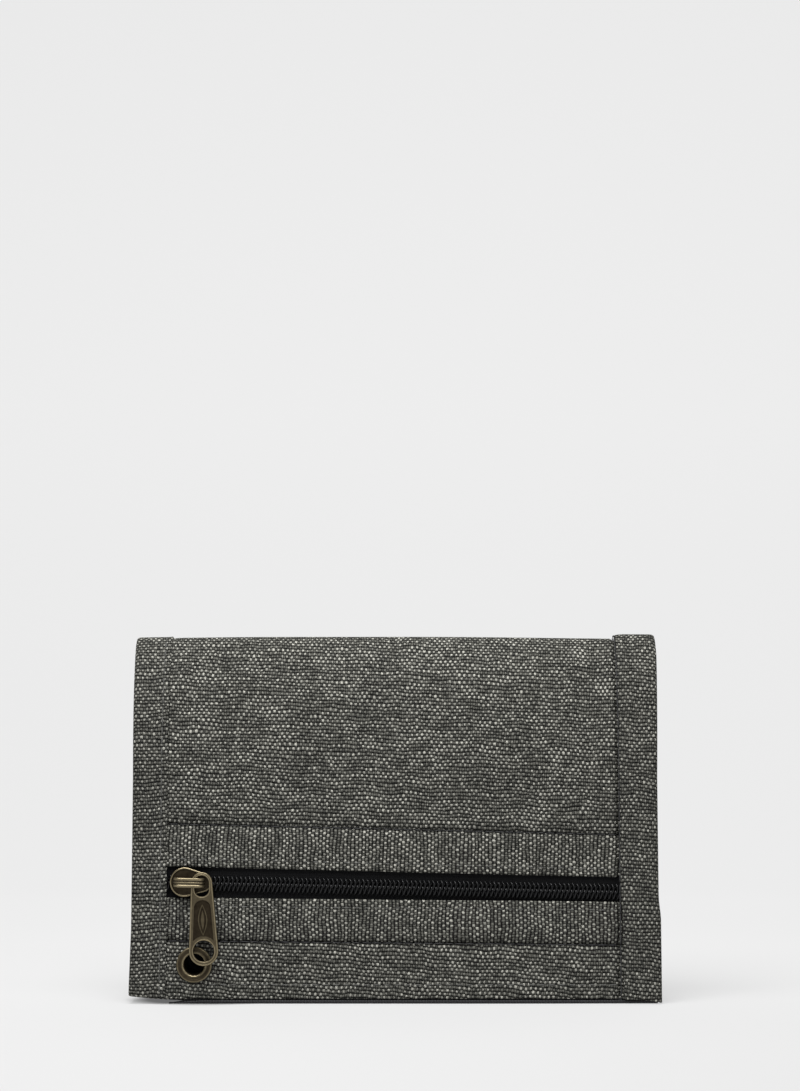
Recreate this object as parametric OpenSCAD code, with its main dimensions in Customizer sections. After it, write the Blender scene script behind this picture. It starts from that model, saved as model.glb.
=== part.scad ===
// Bifold fabric wallet with an outside zip pocket, shown closed and standing on its long edge.
// X runs along the width, -Y is the zip side, +Z is up, and the fold is at the top.
// The origin is the middle of the footprint. All sizes are in millimetres.

/* [Covers] */
// Width over both side hems
cover_w = 130; // [115:1:170]
// Height from the bottom edge to the top of the fold
cover_h = 90; // [80:1:130]
// Thickness when closed, over the hems of both halves
closed_t = 20; // [20:0.5:24]
// Height of the rounded stretch that runs up to the fold
fold_rise = 35; // [28:1:40]
// Thickness of one layer of outer cloth with its backing
cloth_t = 0.8; // [0.6:0.05:0.9]
// Thickness of the binding cloth of the hems
hem_t = 0.6; // [0.4:0.05:0.6]
// Width of the left hem
hem_left_w = 8.6; // [6:0.1:11]
// Width of the right hem
hem_right_w = 9.8; // [6:0.1:12]
// Height of the cloth turned up inside at the bottom edge
turn_up_h = 6; // [4:0.5:6.5]

/* [Zip pocket] */
// Height of the zip's middle line above the bottom edge, halfway along
zip_z = 28.3; // [26:0.2:36]
// Fall of the zip towards the right, in degrees
zip_slope = 1.2; // [0:0.1:1.5]
// Distance from the zip's middle line up to the mouth's upper edge at the left hem
mouth_left_up = 3.6; // [2.6:0.1:5]
// Distance from the zip's middle line up to the mouth's upper edge at the right hem
mouth_right_up = 3.3; // [2.6:0.1:5]
// Distance from the zip's middle line down to the mouth's lower edge at the left hem
mouth_left_down = 3.9; // [2.3:0.1:4.2]
// Distance from the zip's middle line down to the mouth's lower edge at the right hem
mouth_right_down = 2.6; // [2.3:0.1:4.2]
// Height of the upper band between the mouth and its seam
upper_band_h = 10.3; // [6:0.1:14]
// Height of the lower band between the mouth and its seam
lower_band_h = 10.3; // [6:0.1:11]
// Thickness of a band, which is cloth folded double
band_t = 1.2; // [0.9:0.05:1.3]
// Depth of the room for coins behind the zip tapes
coin_room = 3.0; // [2.2:0.1:3.4]

/* [Zip] */
// Width of the closed chain over both coils
chain_w = 4.4; // [3.6:0.1:4.8]
// Distance from one tooth of a coil to the next
tooth_pitch = 1.07; // [0.9:0.01:2]
// Thickness of a zip tape
tape_t = 0.4; // [0.3:0.05:0.5]
// Height of one zip tape
tape_h = 11.5; // [8:0.5:13]
// Length of the slider
slider_len = 10.3; // [9.5:0.1:13]
// Width of the slider at its shoulders
slider_w = 7.2; // [6:0.1:8]
// Width of the slider at its tail
slider_tail_w = 4.8; // [4:0.1:6]
// Thickness of each plate of the slider
slider_plate_t = 0.8; // [0.6:0.05:1]
// Length of the slider's bridge
bridge_len = 7.5; // [7:0.1:9]
// Width of the slider's bridge
bridge_w = 2.3; // [1.6:0.1:2.4]
// Thickness of the slider's bridge
bridge_t = 0.8; // [0.6:0.05:1]

/* [Puller] */
// Distance from the middle of the eye to the middle of the lower hole
puller_reach = 16.4; // [12:0.1:22]
// Radius of the puller around its eye
puller_top_r = 2.6; // [2.5:0.05:2.7]
// Radius of the puller around its lower hole
puller_end_r = 3.6; // [3.2:0.05:4.5]
// Radius of the lower hole
puller_hole_r = 2.5; // [1.5:0.05:2.6]
// Thickness of the puller
puller_t = 1.0; // [0.8:0.05:1.2]
// Angle at which the puller hangs towards the right, in degrees
puller_tilt = 2.3; // [-5:0.1:5]

/* [Eyelet] */
// Distance from the left edge to the middle of the eyelet
eyelet_from_left = 16.1; // [14:0.1:18]
// Height of the middle of the eyelet above the bottom edge
eyelet_z = 9.5; // [6:0.1:10]
// Radius of the hole through the eyelet
eyelet_r = 2.55; // [2:0.05:2.8]
// Width of the eyelet's flange beyond its hole
eyelet_rim_w = 1.8; // [1.2:0.05:1.8]

/* [Inside] */
// Height of the mouth of the tallest card pocket
pocket_top_z = 66; // [58:1:68]
// Step down from one card pocket to the next
pocket_step = 12; // [8:1:14]
// Room for a card in each pocket
card_room = 0.9; // [0.8:0.05:0.95]
// Thickness of the lining cloth
lining_t = 0.3; // [0.2:0.05:0.35]
// Thickness of the clear window
window_t = 0.25; // [0.2:0.05:0.3]
// Height of the touch-fastener strips
strip_h = 14; // [8:1:16]
// Width of the touch-fastener strips
strip_w = 84; // [50:1:86]

/* [Hidden] */
$fn = 64;

REAR = 1;
FRONT = -1;
cloth_grey = [0.33, 0.33, 0.31];
hem_grey = [0.30, 0.30, 0.28];
lining_black = [0.06, 0.06, 0.07];
zip_black = [0.03, 0.03, 0.03];
tape_black = [0.08, 0.08, 0.09];
old_brass = [0.36, 0.31, 0.22];
clear_vinyl = [0.80, 0.85, 0.88, 0.4];

// Depths are counted inwards from the outer face of a half, which is the face of its hems.
half_t = closed_t / 2;
shoulder_z = cover_h - fold_rise;
binding_t = 0.3;
lining_hem_t = 0.4;
skin = [hem_t, hem_t + cloth_t];
band = [hem_t, hem_t + band_t];
low_panel = [hem_t + 0.2, hem_t + 0.2 + cloth_t];
tape = [band[1], band[1] + tape_t];
coil = [hem_t + 0.05, band[1]];
coin_back = [tape[1] + coin_room, tape[1] + coin_room + lining_t];
coin_hem = [coin_back[1], coin_back[1] + 0.5];
note_slit = 0.9;
lining_flange = [coin_hem[1] + note_slit, coin_hem[1] + note_slit + lining_hem_t];
front_sheet = [lining_flange[1], lining_flange[1] + lining_t];
window = [front_sheet[1] + card_room, front_sheet[1] + card_room + window_t];
id_cloth = [window[1], window[1] + 0.4];
front_in = id_cloth[1] + 0.5;

// The linings turn over the fold at these depths, with a slit for banknotes outside them.
skin_hem_crown = [skin[1], skin[1] + hem_t];
flange_crown = [skin_hem_crown[1] + 1, skin_hem_crown[1] + 1 + lining_hem_t];
lining_crown = [flange_crown[1], flange_crown[1] + lining_t];
inner_crown = [lining_crown[1], lining_crown[1] + hem_t];

function pocket(i) = let(d = lining_crown[1] + (i + 1) * card_room + i * lining_t) [d, d + lining_t];
rear_in = pocket(2)[1] + hem_t;
strip_gap = 0.3;
strip_room = closed_t - id_cloth[1] - pocket(2)[1] - strip_gap;
loop_t = strip_room * 0.47;
hook_t = strip_room - loop_t;
strip_z = turn_up_h + 1;

// The fold turns on two lines. They lie where the cloth opens flat at its own length,
// and each cut between a half and the spine is a plane through its line.
quarter = PI * (3 * (half_t + fold_rise) - sqrt((3 * half_t + fold_rise) * (half_t + 3 * fold_rise))) / 4;
pivot_y = (quarter + half_t - fold_rise) / 2;
pivot_up = (quarter + fold_rise - half_t) / 2;
cut_lean = 30;
cut_half = 0.15;
inner_top_z = shoulder_z + 0.66 * fold_rise;

web_t = 0.6;
inside_w = cover_w - 2 * web_t;
left_x = -cover_w / 2;
right_x = cover_w / 2;
field_left = left_x + hem_left_w;
field_right = right_x - hem_right_w;

// Parts of the zip, counted outwards from the outer face as negative depths.
slide_gap = 0.15;
plate_top = [band[0] - slide_gap - slider_plate_t, band[0] - slide_gap];
plate_back = [tape[1] + slide_gap, tape[1] + slide_gap + slider_plate_t];
puller_gap = 0.2;
spring_t = 0.25;
puller_depth = [plate_top[0] - puller_gap - puller_t, plate_top[0] - puller_gap];
bridge_under = puller_depth[0] - puller_gap - spring_t;
bridge_top = bridge_under - bridge_t;
leg_len = 1.2;
chain_gap = 0.7;
wedge_t = 0.4;

// The footprint's middle is the origin, so the covers sit behind it by half of what the bridge adds.
y_mid = -bridge_top / 2;
slider_x = field_left + 1.4;
bridge_x = slider_x + 1;
eye_x = bridge_x + bridge_len - leg_len / 2;
slot_r = puller_top_r - 0.9;
slot_len = 1.6;
zip_w = inside_w - 1;
zip_left_z = zip_z - field_left * tan(zip_slope);
zip_right_z = zip_z - field_right * tan(zip_slope);
seam_right_z = zip_right_z + mouth_right_up + upper_band_h;
coin_top_z = max(zip_left_z + mouth_left_up + upper_band_h, zip_left_z + tape_h) + 3;
eyelet_x = left_x + eyelet_from_left;
barrel_t = 0.3;
eyelet_clear = 0.1;
eyelet_flange_t = 0.7;
id_mouth_z = inner_top_z - 2;
window_w = 90;
window_low_z = strip_z + strip_h + 1;
window_lap = 7;

// Position across the thickness of a depth in one half.
function at_depth(half, d) = y_mid + half * (half_t - d);
// A point on the rounded stretch of one half: angle 0 is the shoulder and 90 the fold's top.
function crown_point(half, d, a) =
    [y_mid + half * (half_t - d) * cos(a), shoulder_z + (fold_rise - d) * sin(a)];
function crown(half, d, from, to, steps = 14) =
    [for (i = [0:steps]) crown_point(half, d, from + (to - from) * i / steps)];
// Angle at which an upright sheet at depth flat meets the rounded stretch at depth over.
function meets(flat, over) = acos((half_t - flat) / (half_t - over));
// Angle at which the rounded stretch at depth d crosses the cut, moved down by off.
function cut_angle(d, off) =
    let(a = (half_t - d) * sin(cut_lean), b = -(fold_rise - d) * cos(cut_lean))
    let(c = pivot_y * sin(cut_lean) - pivot_up * cos(cut_lean) + off)
    atan2(b, a) + acos(c / norm([a, b]));
function half_end(d) = cut_angle(d, cut_half);
function spine_start(d) = cut_angle(d, -cut_half);
// Height at x of a straight edge with the given heights at the left and right hems.
function edge_z(left, right, x) =
    left + (right - left) * (x - field_left) / (field_right - field_left);
// Heights at x of the mouth's upper and lower edges, moved by more.
function mouth_top(x, more = 0) =
    edge_z(zip_left_z + mouth_left_up + more, zip_right_z + mouth_right_up + more, x);
function mouth_low(x, more = 0) =
    edge_z(zip_left_z - mouth_left_down + more, zip_right_z - mouth_right_down + more, x);

// Extrudes an outline drawn in Y and Z from x0 to x1.
module along_x(x0, x1) {
    translate([x0, 0, 0]) rotate([90, 0, 90]) linear_extrude(x1 - x0) children();
}

// Extrudes an outline drawn in X and Z between two depths of one half.
module between(half, depths) {
    low = min(at_depth(half, depths[0]), at_depth(half, depths[1]));
    high = max(at_depth(half, depths[0]), at_depth(half, depths[1]));
    translate([0, high, 0]) rotate([90, 0, 0]) linear_extrude(high - low) children();
}

// The upper stretch of an upright line: over the fold, or leaning straight in to the cut
// where it is too deep to meet the rounded stretch before that.
function rising_line(half, flat, over) = meets(flat, over) > half_end(over)
    ? [[at_depth(half, flat), inner_top_z], crown_point(half, over, half_end(over))]
    : crown(half, over, meets(flat, over), half_end(over));
function backwards(points) = [for (i = [len(points) - 1:-1:0]) points[i]];

// Outline of a sheet: upright between the flat depths, then over the fold between the crown depths.
module sheet_outline(half, flat, over, low_z) {
    polygon(concat(
        [[at_depth(half, flat[0]), low_z]],
        rising_line(half, flat[0], over[0]),
        backwards(rising_line(half, flat[1], over[1])),
        [[at_depth(half, flat[1]), low_z]]
    ));
}

// Outline of a hem's edge: from a sheet's outer line in to the inner face of the half.
module edge_outline(half, flat, over, inner) {
    polygon(concat(
        [[at_depth(half, flat), 0]],
        rising_line(half, flat, over),
        [crown_point(half, inner_crown[1], half_end(inner_crown[1])),
         [at_depth(half, inner), inner_top_z],
         [at_depth(half, inner), 0]]
    ));
}

// Outline of the inner leg of a hem, which leans in to the lining near the fold.
module inner_leg_outline(half, inner, t) {
    polygon([
        [at_depth(half, inner), 0],
        [at_depth(half, inner), inner_top_z],
        crown_point(half, inner_crown[1], half_end(inner_crown[1])),
        crown_point(half, inner_crown[0], half_end(inner_crown[0])),
        [at_depth(half, inner - t), inner_top_z],
        [at_depth(half, inner - t), 0]
    ]);
}

// Outline of a sheet over the top of the fold, between its two folding lines.
module spine_outline(over) {
    polygon(concat(
        crown(REAR, over[0], spine_start(over[0]), 180 - spine_start(over[0])),
        crown(REAR, over[1], 180 - spine_start(over[1]), spine_start(over[1]))
    ));
}

// A rectangle between two X and two Z values.
module panel(x0, x1, z0, z1) {
    translate([x0, z0]) square([x1 - x0, z1 - z0]);
}

// A piece across the inside width between two sloping edges, given by their end heights.
module sloping_panel(low, high) {
    polygon([
        [-inside_w / 2, low[0]],
        [inside_w / 2, low[1]],
        [inside_w / 2, high[1]],
        [-inside_w / 2, high[0]]
    ]);
}

function top_pair(more = 0) = [mouth_top(-inside_w / 2, more), mouth_top(inside_w / 2, more)];
function low_pair(more = 0) = [mouth_low(-inside_w / 2, more), mouth_low(inside_w / 2, more)];

// Puts an outline drawn on the X axis onto the zip's middle line.
module on_zip() {
    translate([0, zip_z]) rotate(-zip_slope) children();
}

// Outline round two circles on the X axis, with straight sides that touch both.
module taper(r0, r1, reach) {
    arc_steps = 24;
    lean = acos((r0 - r1) / reach);
    polygon(concat(
        [for (i = [0:arc_steps]) let(a = lean + (360 - 2 * lean) * i / arc_steps)
            [r0 * cos(a), r0 * sin(a)]],
        [for (i = [0:arc_steps]) let(a = -lean + 2 * lean * i / arc_steps)
            [reach + r1 * cos(a), r1 * sin(a)]]
    ));
}

// A cylinder through the front half on the eyelet's axis.
module eyelet_bore(r) {
    translate([eyelet_x, at_depth(FRONT, -1), eyelet_z])
        rotate([-90, 0, 0]) cylinder(h = half_t + 2, r = r);
}

// Cloth of a half that turns under at the bottom and up again inside, up to the given inner depth.
module bottom_turn(half, face, inner, t) {
    between(half, [face[1], inner - t])
        panel(-inside_w / 2, inside_w / 2, 0, cloth_t);
    between(half, [inner - t, inner])
        panel(field_left, field_right, 0, turn_up_h);
}

module left_hem(half, inner) {
    along_x(left_x, field_left) sheet_outline(half, [0, hem_t], [0, hem_t], 0);
    along_x(left_x, left_x + web_t) edge_outline(half, 0, 0, inner);
    along_x(left_x, field_left) inner_leg_outline(half, inner, inner - inner_face(half));
}

function inner_face(half) = half == REAR ? rear_in - hem_t : id_cloth[1];

// The hem round the free edge of the outer cloth, on the side where banknotes go in.
module right_hem(half, flat) {
    along_x(field_right, right_x) sheet_outline(half, [0, hem_t], [0, hem_t], 0);
    along_x(right_x - web_t, right_x) sheet_outline(half, [0, flat[1]], [0, skin_hem_crown[1]], 0);
    along_x(field_right, right_x) sheet_outline(half, flat, skin_hem_crown, cloth_t);
}

// The hem round the free edge of the lining and its pockets.
module lining_hem(half, flat, inner) {
    along_x(field_right, right_x) sheet_outline(half, flat, flange_crown, cloth_t);
    along_x(right_x - web_t, right_x) edge_outline(half, flat[0], flange_crown[0], inner);
    along_x(field_right, right_x) inner_leg_outline(half, inner, inner - inner_face(half));
}

module rear_panel() {
    color(cloth_grey) along_x(-inside_w / 2, inside_w / 2) sheet_outline(REAR, skin, skin, 0);
}

module rear_bottom_hem() {
    color(cloth_grey) bottom_turn(REAR, skin, rear_in, hem_t);
}

module rear_lining() {
    color(lining_black)
        along_x(-inside_w / 2, inside_w / 2) sheet_outline(REAR, lining_crown, lining_crown, cloth_t);
}

module rear_hem_left() {
    color(hem_grey) left_hem(REAR, rear_in);
}

module rear_hem_right() {
    color(hem_grey) right_hem(REAR, skin_hem_crown);
}

module rear_lining_hem() {
    color(hem_grey) lining_hem(REAR, flange_crown, rear_in);
}

module card_pocket(i) {
    color(lining_black) between(REAR, pocket(i))
        panel(-inside_w / 2, inside_w / 2, cloth_t, pocket_top_z - i * pocket_step);
}

module card_binding(i) {
    mouth = pocket_top_z - i * pocket_step;
    color(tape_black) between(REAR, [pocket(i)[1], pocket(i)[1] + binding_t])
        panel(field_left, field_right, mouth - 5, mouth);
}

module hook_strip() {
    color(zip_black) between(REAR, [pocket(2)[1], pocket(2)[1] + hook_t])
        panel(-strip_w / 2, strip_w / 2, strip_z, strip_z + strip_h);
}

module spine_panel() {
    color(cloth_grey) along_x(-inside_w / 2, inside_w / 2) spine_outline(skin);
}

module spine_lining() {
    color(lining_black) along_x(-inside_w / 2, inside_w / 2) spine_outline(lining_crown);
}

module spine_hem_left() {
    color(hem_grey) {
        along_x(left_x, field_left) spine_outline([0, hem_t]);
        along_x(left_x, left_x + web_t) spine_outline([0, inner_crown[1]]);
        along_x(left_x, field_left) spine_outline(inner_crown);
    }
}

module spine_hem_right() {
    color(hem_grey) {
        along_x(field_right, right_x) spine_outline([0, hem_t]);
        along_x(right_x - web_t, right_x) spine_outline([0, skin_hem_crown[1]]);
        along_x(field_right, right_x) spine_outline(skin_hem_crown);
    }
}

module spine_lining_hem() {
    color(hem_grey) {
        along_x(field_right, right_x) spine_outline(flange_crown);
        along_x(right_x - web_t, right_x) spine_outline([flange_crown[0], inner_crown[1]]);
        along_x(field_right, right_x) spine_outline(inner_crown);
    }
}

// The outer cloth above the seam, which slopes with the zip mouth.
module front_upper_panel() {
    color(cloth_grey) difference() {
        along_x(-inside_w / 2, inside_w / 2) sheet_outline(FRONT, skin, skin, seam_right_z - 3);
        between(FRONT, [-1, half_t]) scale(1.001) sloping_panel([-1, -1], top_pair(upper_band_h));
    }
}

module zip_band_upper() {
    color(cloth_grey) between(FRONT, band) sloping_panel(top_pair(), top_pair(upper_band_h));
}

module zip_band_lower() {
    color(cloth_grey) between(FRONT, band) sloping_panel(low_pair(-lower_band_h), low_pair());
}

module front_lower_panel() {
    color(cloth_grey) difference() {
        between(FRONT, low_panel) sloping_panel([0, 0], low_pair(-lower_band_h));
        eyelet_bore(eyelet_r + barrel_t + eyelet_clear);
    }
}

module front_bottom_hem() {
    color(cloth_grey) difference() {
        bottom_turn(FRONT, low_panel, front_in, front_in - id_cloth[1]);
        translate([eyelet_x, at_depth(FRONT, id_cloth[1]), eyelet_z])
            rotate([-90, 0, 0]) cylinder(h = half_t, r = eyelet_r + eyelet_rim_w + eyelet_clear);
    }
}

module front_hem_left() {
    color(hem_grey) left_hem(FRONT, front_in);
}

module front_hem_right() {
    color(hem_grey) right_hem(FRONT, coin_hem);
}

module front_lining_hem() {
    color(hem_grey) lining_hem(FRONT, lining_flange, front_in);
}

module zip_tape(side) {
    color(tape_black) between(FRONT, tape)
        on_zip() mirror([0, side < 0 ? 1 : 0]) panel(-zip_w / 2, zip_w / 2, chain_gap / 2, tape_h);
}

// One coil: a straight back along the tape with a tooth at every pitch.
module zip_coil(side) {
    back_z = chain_w / 4;
    count = floor((zip_w - 1) / tooth_pitch);
    start = -count * tooth_pitch / 2;
    color(zip_black) between(FRONT, coil) on_zip() mirror([0, side < 0 ? 1 : 0]) polygon(concat(
        [[zip_w / 2, chain_w / 2], [-zip_w / 2, chain_w / 2], [-zip_w / 2, back_z]],
        [for (i = [0:count - 1], corner = [[0, 0], [0, 1], [0.6, 1], [0.6, 0]])
            [start + (i + corner[0] + (side > 0 ? 0 : 0.5) * 0.8) * tooth_pitch,
             back_z + (chain_gap / 2 - back_z) * corner[1]]],
        [[zip_w / 2, back_z]]
    ));
}

// The back of the black bag behind the zip.
module coin_lining() {
    color(lining_black) difference() {
        between(FRONT, coin_back) panel(-inside_w / 2, inside_w / 2, cloth_t, coin_top_z);
        eyelet_bore(eyelet_r + barrel_t + eyelet_clear);
    }
}

// The top of the bag, which joins its back to the outer cloth.
module coin_pocket_top() {
    color(lining_black) between(FRONT, [skin[1], coin_back[0]])
        panel(-inside_w / 2, inside_w / 2, coin_top_z - lining_t, coin_top_z);
}

module front_lining() {
    color(lining_black) difference() {
        along_x(-inside_w / 2, inside_w / 2)
            sheet_outline(FRONT, front_sheet, lining_crown, cloth_t);
        eyelet_bore(eyelet_r + barrel_t + eyelet_clear);
    }
}

module id_window() {
    color(clear_vinyl) between(FRONT, window)
        panel(-window_w / 2, window_w / 2, window_low_z, id_mouth_z - 1);
}

module id_panel() {
    corner_r = 3;
    open_w = window_w - 2 * window_lap;
    open_h = id_mouth_z - 1 - window_low_z - 2 * window_lap;
    color(lining_black) difference() {
        between(FRONT, id_cloth) difference() {
            panel(-inside_w / 2, inside_w / 2, cloth_t, id_mouth_z);
            for (turn = [0, 1]) panel(
                -open_w / 2 + turn * corner_r, open_w / 2 - turn * corner_r,
                window_low_z + window_lap + (1 - turn) * corner_r,
                window_low_z + window_lap + open_h - (1 - turn) * corner_r
            );
            for (x = [-1, 1], top = [0, 1]) translate([
                x * (open_w / 2 - corner_r),
                window_low_z + window_lap + corner_r + top * (open_h - 2 * corner_r)
            ]) circle(corner_r);
        }
        eyelet_bore(eyelet_r + barrel_t + eyelet_clear);
    }
}

module id_binding() {
    color(tape_black) between(FRONT, [id_cloth[1], id_cloth[1] + binding_t])
        panel(field_left, field_right, id_mouth_z - 5, id_mouth_z);
}

module loop_strip() {
    color(zip_black) between(FRONT, [id_cloth[1], id_cloth[1] + loop_t])
        panel(-strip_w / 2, strip_w / 2, strip_z, strip_z + strip_h);
}

// A round part on the eyelet's axis, from an outline of radius and depth.
module eyelet_turned() {
    translate([eyelet_x, at_depth(FRONT, 0), eyelet_z]) rotate([-90, 0, 0]) rotate_extrude() children();
}

module eyelet() {
    face = low_panel[0];
    back = id_cloth[1];
    rim = eyelet_r + eyelet_rim_w;
    color(old_brass) eyelet_turned() {
        translate([eyelet_r, face - eyelet_flange_t])
            square([barrel_t, back + 0.7 - face + eyelet_flange_t]);
        translate([eyelet_r, face - eyelet_flange_t])
            square([eyelet_rim_w - 0.3, eyelet_flange_t]);
        translate([eyelet_r, face - eyelet_flange_t + 0.3])
            square([eyelet_rim_w, eyelet_flange_t - 0.3]);
        translate([rim - 0.3, face - eyelet_flange_t + 0.3]) circle(0.3);
        translate([eyelet_r, back + 0.5]) square([0.9, 0.2]);
    }
}

module eyelet_washer() {
    color(old_brass) eyelet_turned()
        translate([eyelet_r + barrel_t + 0.05, id_cloth[1]])
            square([eyelet_rim_w - barrel_t - 0.15, 0.5]);
}

module slider_outline() {
    on_zip() translate([slider_x + slider_w / 2, 0])
        taper(slider_w / 2, slider_tail_w / 2, slider_len - slider_w / 2 - slider_tail_w / 2);
}

module slider_body() {
    color(old_brass) {
        between(FRONT, plate_top) slider_outline();
        between(FRONT, plate_back) slider_outline();
        between(FRONT, [plate_top[1], plate_back[0]])
            on_zip() panel(slider_x + 1, slider_x + 3.4, -wedge_t / 2, wedge_t / 2);
    }
}

module slider_bridge() {
    color(old_brass) {
        between(FRONT, [bridge_top, bridge_under])
            on_zip() panel(bridge_x, bridge_x + bridge_len, -bridge_w / 2, bridge_w / 2);
        for (x = [bridge_x, bridge_x + bridge_len - leg_len])
            between(FRONT, [bridge_under, plate_top[0]])
                on_zip() panel(x, x + leg_len, -bridge_w / 2, bridge_w / 2);
    }
}

module lock_spring() {
    color(old_brass) between(FRONT, [bridge_under, bridge_under + spring_t])
        on_zip() panel(bridge_x + leg_len, bridge_x + bridge_len - leg_len, -0.5, 0.5);
}

// Puts an outline drawn along the X axis onto the puller, from its eye down to its lower hole.
module on_puller() {
    on_zip() translate([eye_x, 0]) rotate(zip_slope + puller_tilt - 90) children();
}

// The long hole of the puller's eye.
module eye_slot() {
    arc_steps = 16;
    polygon([for (end = [0, 1], i = [0:arc_steps])
        let(a = 90 + 180 * (i / arc_steps + end))
            [end * slot_len + slot_r * cos(a), slot_r * sin(a)]]);
}

// The puller hangs from the bridge's right leg, which stands in its eye.
module puller() {
    recess_t = 0.3;
    rim_w = 1;
    recess_from = slot_len + slot_r + 0.9;
    recess_to = puller_reach - puller_hole_r - 1;
    color(old_brass) difference() {
        between(FRONT, puller_depth) on_puller() difference() {
            taper(puller_top_r, puller_end_r, puller_reach);
            eye_slot();
            translate([puller_reach, 0]) circle(puller_hole_r);
        }
        between(FRONT, [puller_depth[0] - 1, puller_depth[0] + recess_t]) on_puller() polygon([
            [recess_from, rim_w - puller_top_r],
            [recess_from, puller_top_r - rim_w],
            [recess_to, puller_end_r - rim_w - 0.3],
            [recess_to, rim_w + 0.3 - puller_end_r]
        ]);
    }
}

rear_panel();
rear_bottom_hem();
rear_lining();
rear_hem_left();
rear_hem_right();
rear_lining_hem();
card_pocket(0);  // card_pocket_high
card_pocket(1);  // card_pocket_mid
card_pocket(2);  // card_pocket_low
card_binding(0);  // card_binding_high
card_binding(1);  // card_binding_mid
card_binding(2);  // card_binding_low
hook_strip();
spine_panel();
spine_lining();
spine_hem_left();
spine_hem_right();
spine_lining_hem();
front_upper_panel();
zip_band_upper();
zip_band_lower();
front_lower_panel();
front_bottom_hem();
front_hem_left();
front_hem_right();
front_lining_hem();
zip_tape(1);  // zip_tape_upper
zip_tape(-1);  // zip_tape_lower
zip_coil(1);  // zip_coil_upper
zip_coil(-1);  // zip_coil_lower
coin_lining();
coin_pocket_top();
front_lining();
id_window();
id_panel();
id_binding();
loop_strip();
eyelet();
eyelet_washer();
slider_body();
slider_bridge();
lock_spring();
puller();
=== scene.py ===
# %% [markdown]
# # A bifold fabric wallet
# The wallet stands closed on its long open edge with its fold at the top. Its front carries a
# zipped coin pocket. The stiff model gives every size and place, and this file gives the looks:
# coarse grey cloth with its weave, folded hems, stitches, a coil zip and old brass fittings.

# %% Import the model
import math

import bmesh
import bpy
import numpy as np
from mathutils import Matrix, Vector


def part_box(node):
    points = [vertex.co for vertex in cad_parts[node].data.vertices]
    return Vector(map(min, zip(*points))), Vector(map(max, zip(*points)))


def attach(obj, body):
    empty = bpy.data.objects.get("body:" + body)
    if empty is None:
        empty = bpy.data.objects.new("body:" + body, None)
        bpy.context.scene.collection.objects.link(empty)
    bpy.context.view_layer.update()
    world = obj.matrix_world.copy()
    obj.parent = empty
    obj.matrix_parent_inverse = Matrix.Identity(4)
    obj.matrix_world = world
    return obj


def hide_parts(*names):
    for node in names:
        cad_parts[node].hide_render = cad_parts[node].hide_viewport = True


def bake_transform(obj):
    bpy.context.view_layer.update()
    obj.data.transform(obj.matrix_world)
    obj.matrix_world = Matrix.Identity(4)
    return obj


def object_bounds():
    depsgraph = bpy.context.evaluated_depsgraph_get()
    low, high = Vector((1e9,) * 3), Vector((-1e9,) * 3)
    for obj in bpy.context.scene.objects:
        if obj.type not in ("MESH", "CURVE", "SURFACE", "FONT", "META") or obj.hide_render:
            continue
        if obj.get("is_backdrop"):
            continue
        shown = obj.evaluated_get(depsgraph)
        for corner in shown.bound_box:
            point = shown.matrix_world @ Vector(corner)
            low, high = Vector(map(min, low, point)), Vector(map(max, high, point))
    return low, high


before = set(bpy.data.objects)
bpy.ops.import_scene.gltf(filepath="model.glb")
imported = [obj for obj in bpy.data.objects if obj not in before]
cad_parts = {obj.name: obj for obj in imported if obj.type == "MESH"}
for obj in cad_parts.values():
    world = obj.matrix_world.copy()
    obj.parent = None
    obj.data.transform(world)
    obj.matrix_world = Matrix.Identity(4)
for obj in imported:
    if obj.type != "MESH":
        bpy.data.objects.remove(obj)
cad_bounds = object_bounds()

# %% [markdown]
# ## Sizes
# Every length in this file is written in millimetres and turned into metres when a mesh is made.
# A cloth wallet is a stack of thin layers, so each layer is named by its depth, which is counted
# inwards from the outer face of its half.

# %% Sizes of the stack
MM = 0.001
REAR, FRONT = 1, -1
left_hem_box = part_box("rear_hem_left")
WIDTH = 2 * -left_hem_box[0][0] / MM
HEIGHT = cad_bounds[1][2] / MM
HALF_T = 10.0
RISE = 35.0
SHOULDER = HEIGHT - RISE
Y_MID = left_hem_box[1][1] / MM - HALF_T
EDGE = WIDTH / 2
LEFT_IN = left_hem_box[1][0] / MM
RIGHT_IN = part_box("front_hem_right")[0][0] / MM
INSIDE = EDGE - 1.2
HEM_T, CLOTH_T, BAND_T, LINING_T = 0.6, 0.8, 1.2, 0.3
SKIN, LOW_SKIN, TAPE = 0.6, 0.8, 1.8
COIN_BACK, COIN_HEM = 5.2, 6.0
FLANGE, FRONT_LINING, WINDOW, ID_CLOTH, FRONT_IN = 6.9, 7.3, 8.5, 8.75, 9.65
REAR_LINING, POCKET_DEPTHS, REAR_IN = 3.4, (4.6, 5.8, 7.0), 7.9
INNER_CROWN = 4.3
print(f"{WIDTH:.1f} mm wide, {HEIGHT:.1f} mm high, middle plane at {Y_MID:.2f} mm")

# %% Sizes of the zip mouth
ZIP_Z = 28.3
ZIP_SLOPE = math.radians(1.2)
COIL_DROP = 0.35
BAND_H = 10.3


def zip_z(x):
    """Height of the zip's middle line at x."""
    return ZIP_Z - x * math.tan(ZIP_SLOPE)


def between_hems(left, right, x):
    """A value that goes evenly from left to right between the two hems."""
    return left + (right - left) * (x - LEFT_IN) / (RIGHT_IN - LEFT_IN)


def mouth_top(x):
    """Height of the upper edge of the zip's mouth."""
    return between_hems(zip_z(LEFT_IN) + 3.6, zip_z(RIGHT_IN) + 3.3, x)


def mouth_low(x):
    """Height of the lower edge of the zip's mouth."""
    return between_hems(zip_z(LEFT_IN) - 3.9, zip_z(RIGHT_IN) - 2.6, x)


print(f"the mouth is {mouth_top(0) - mouth_low(0):.1f} mm high halfway along")

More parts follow.
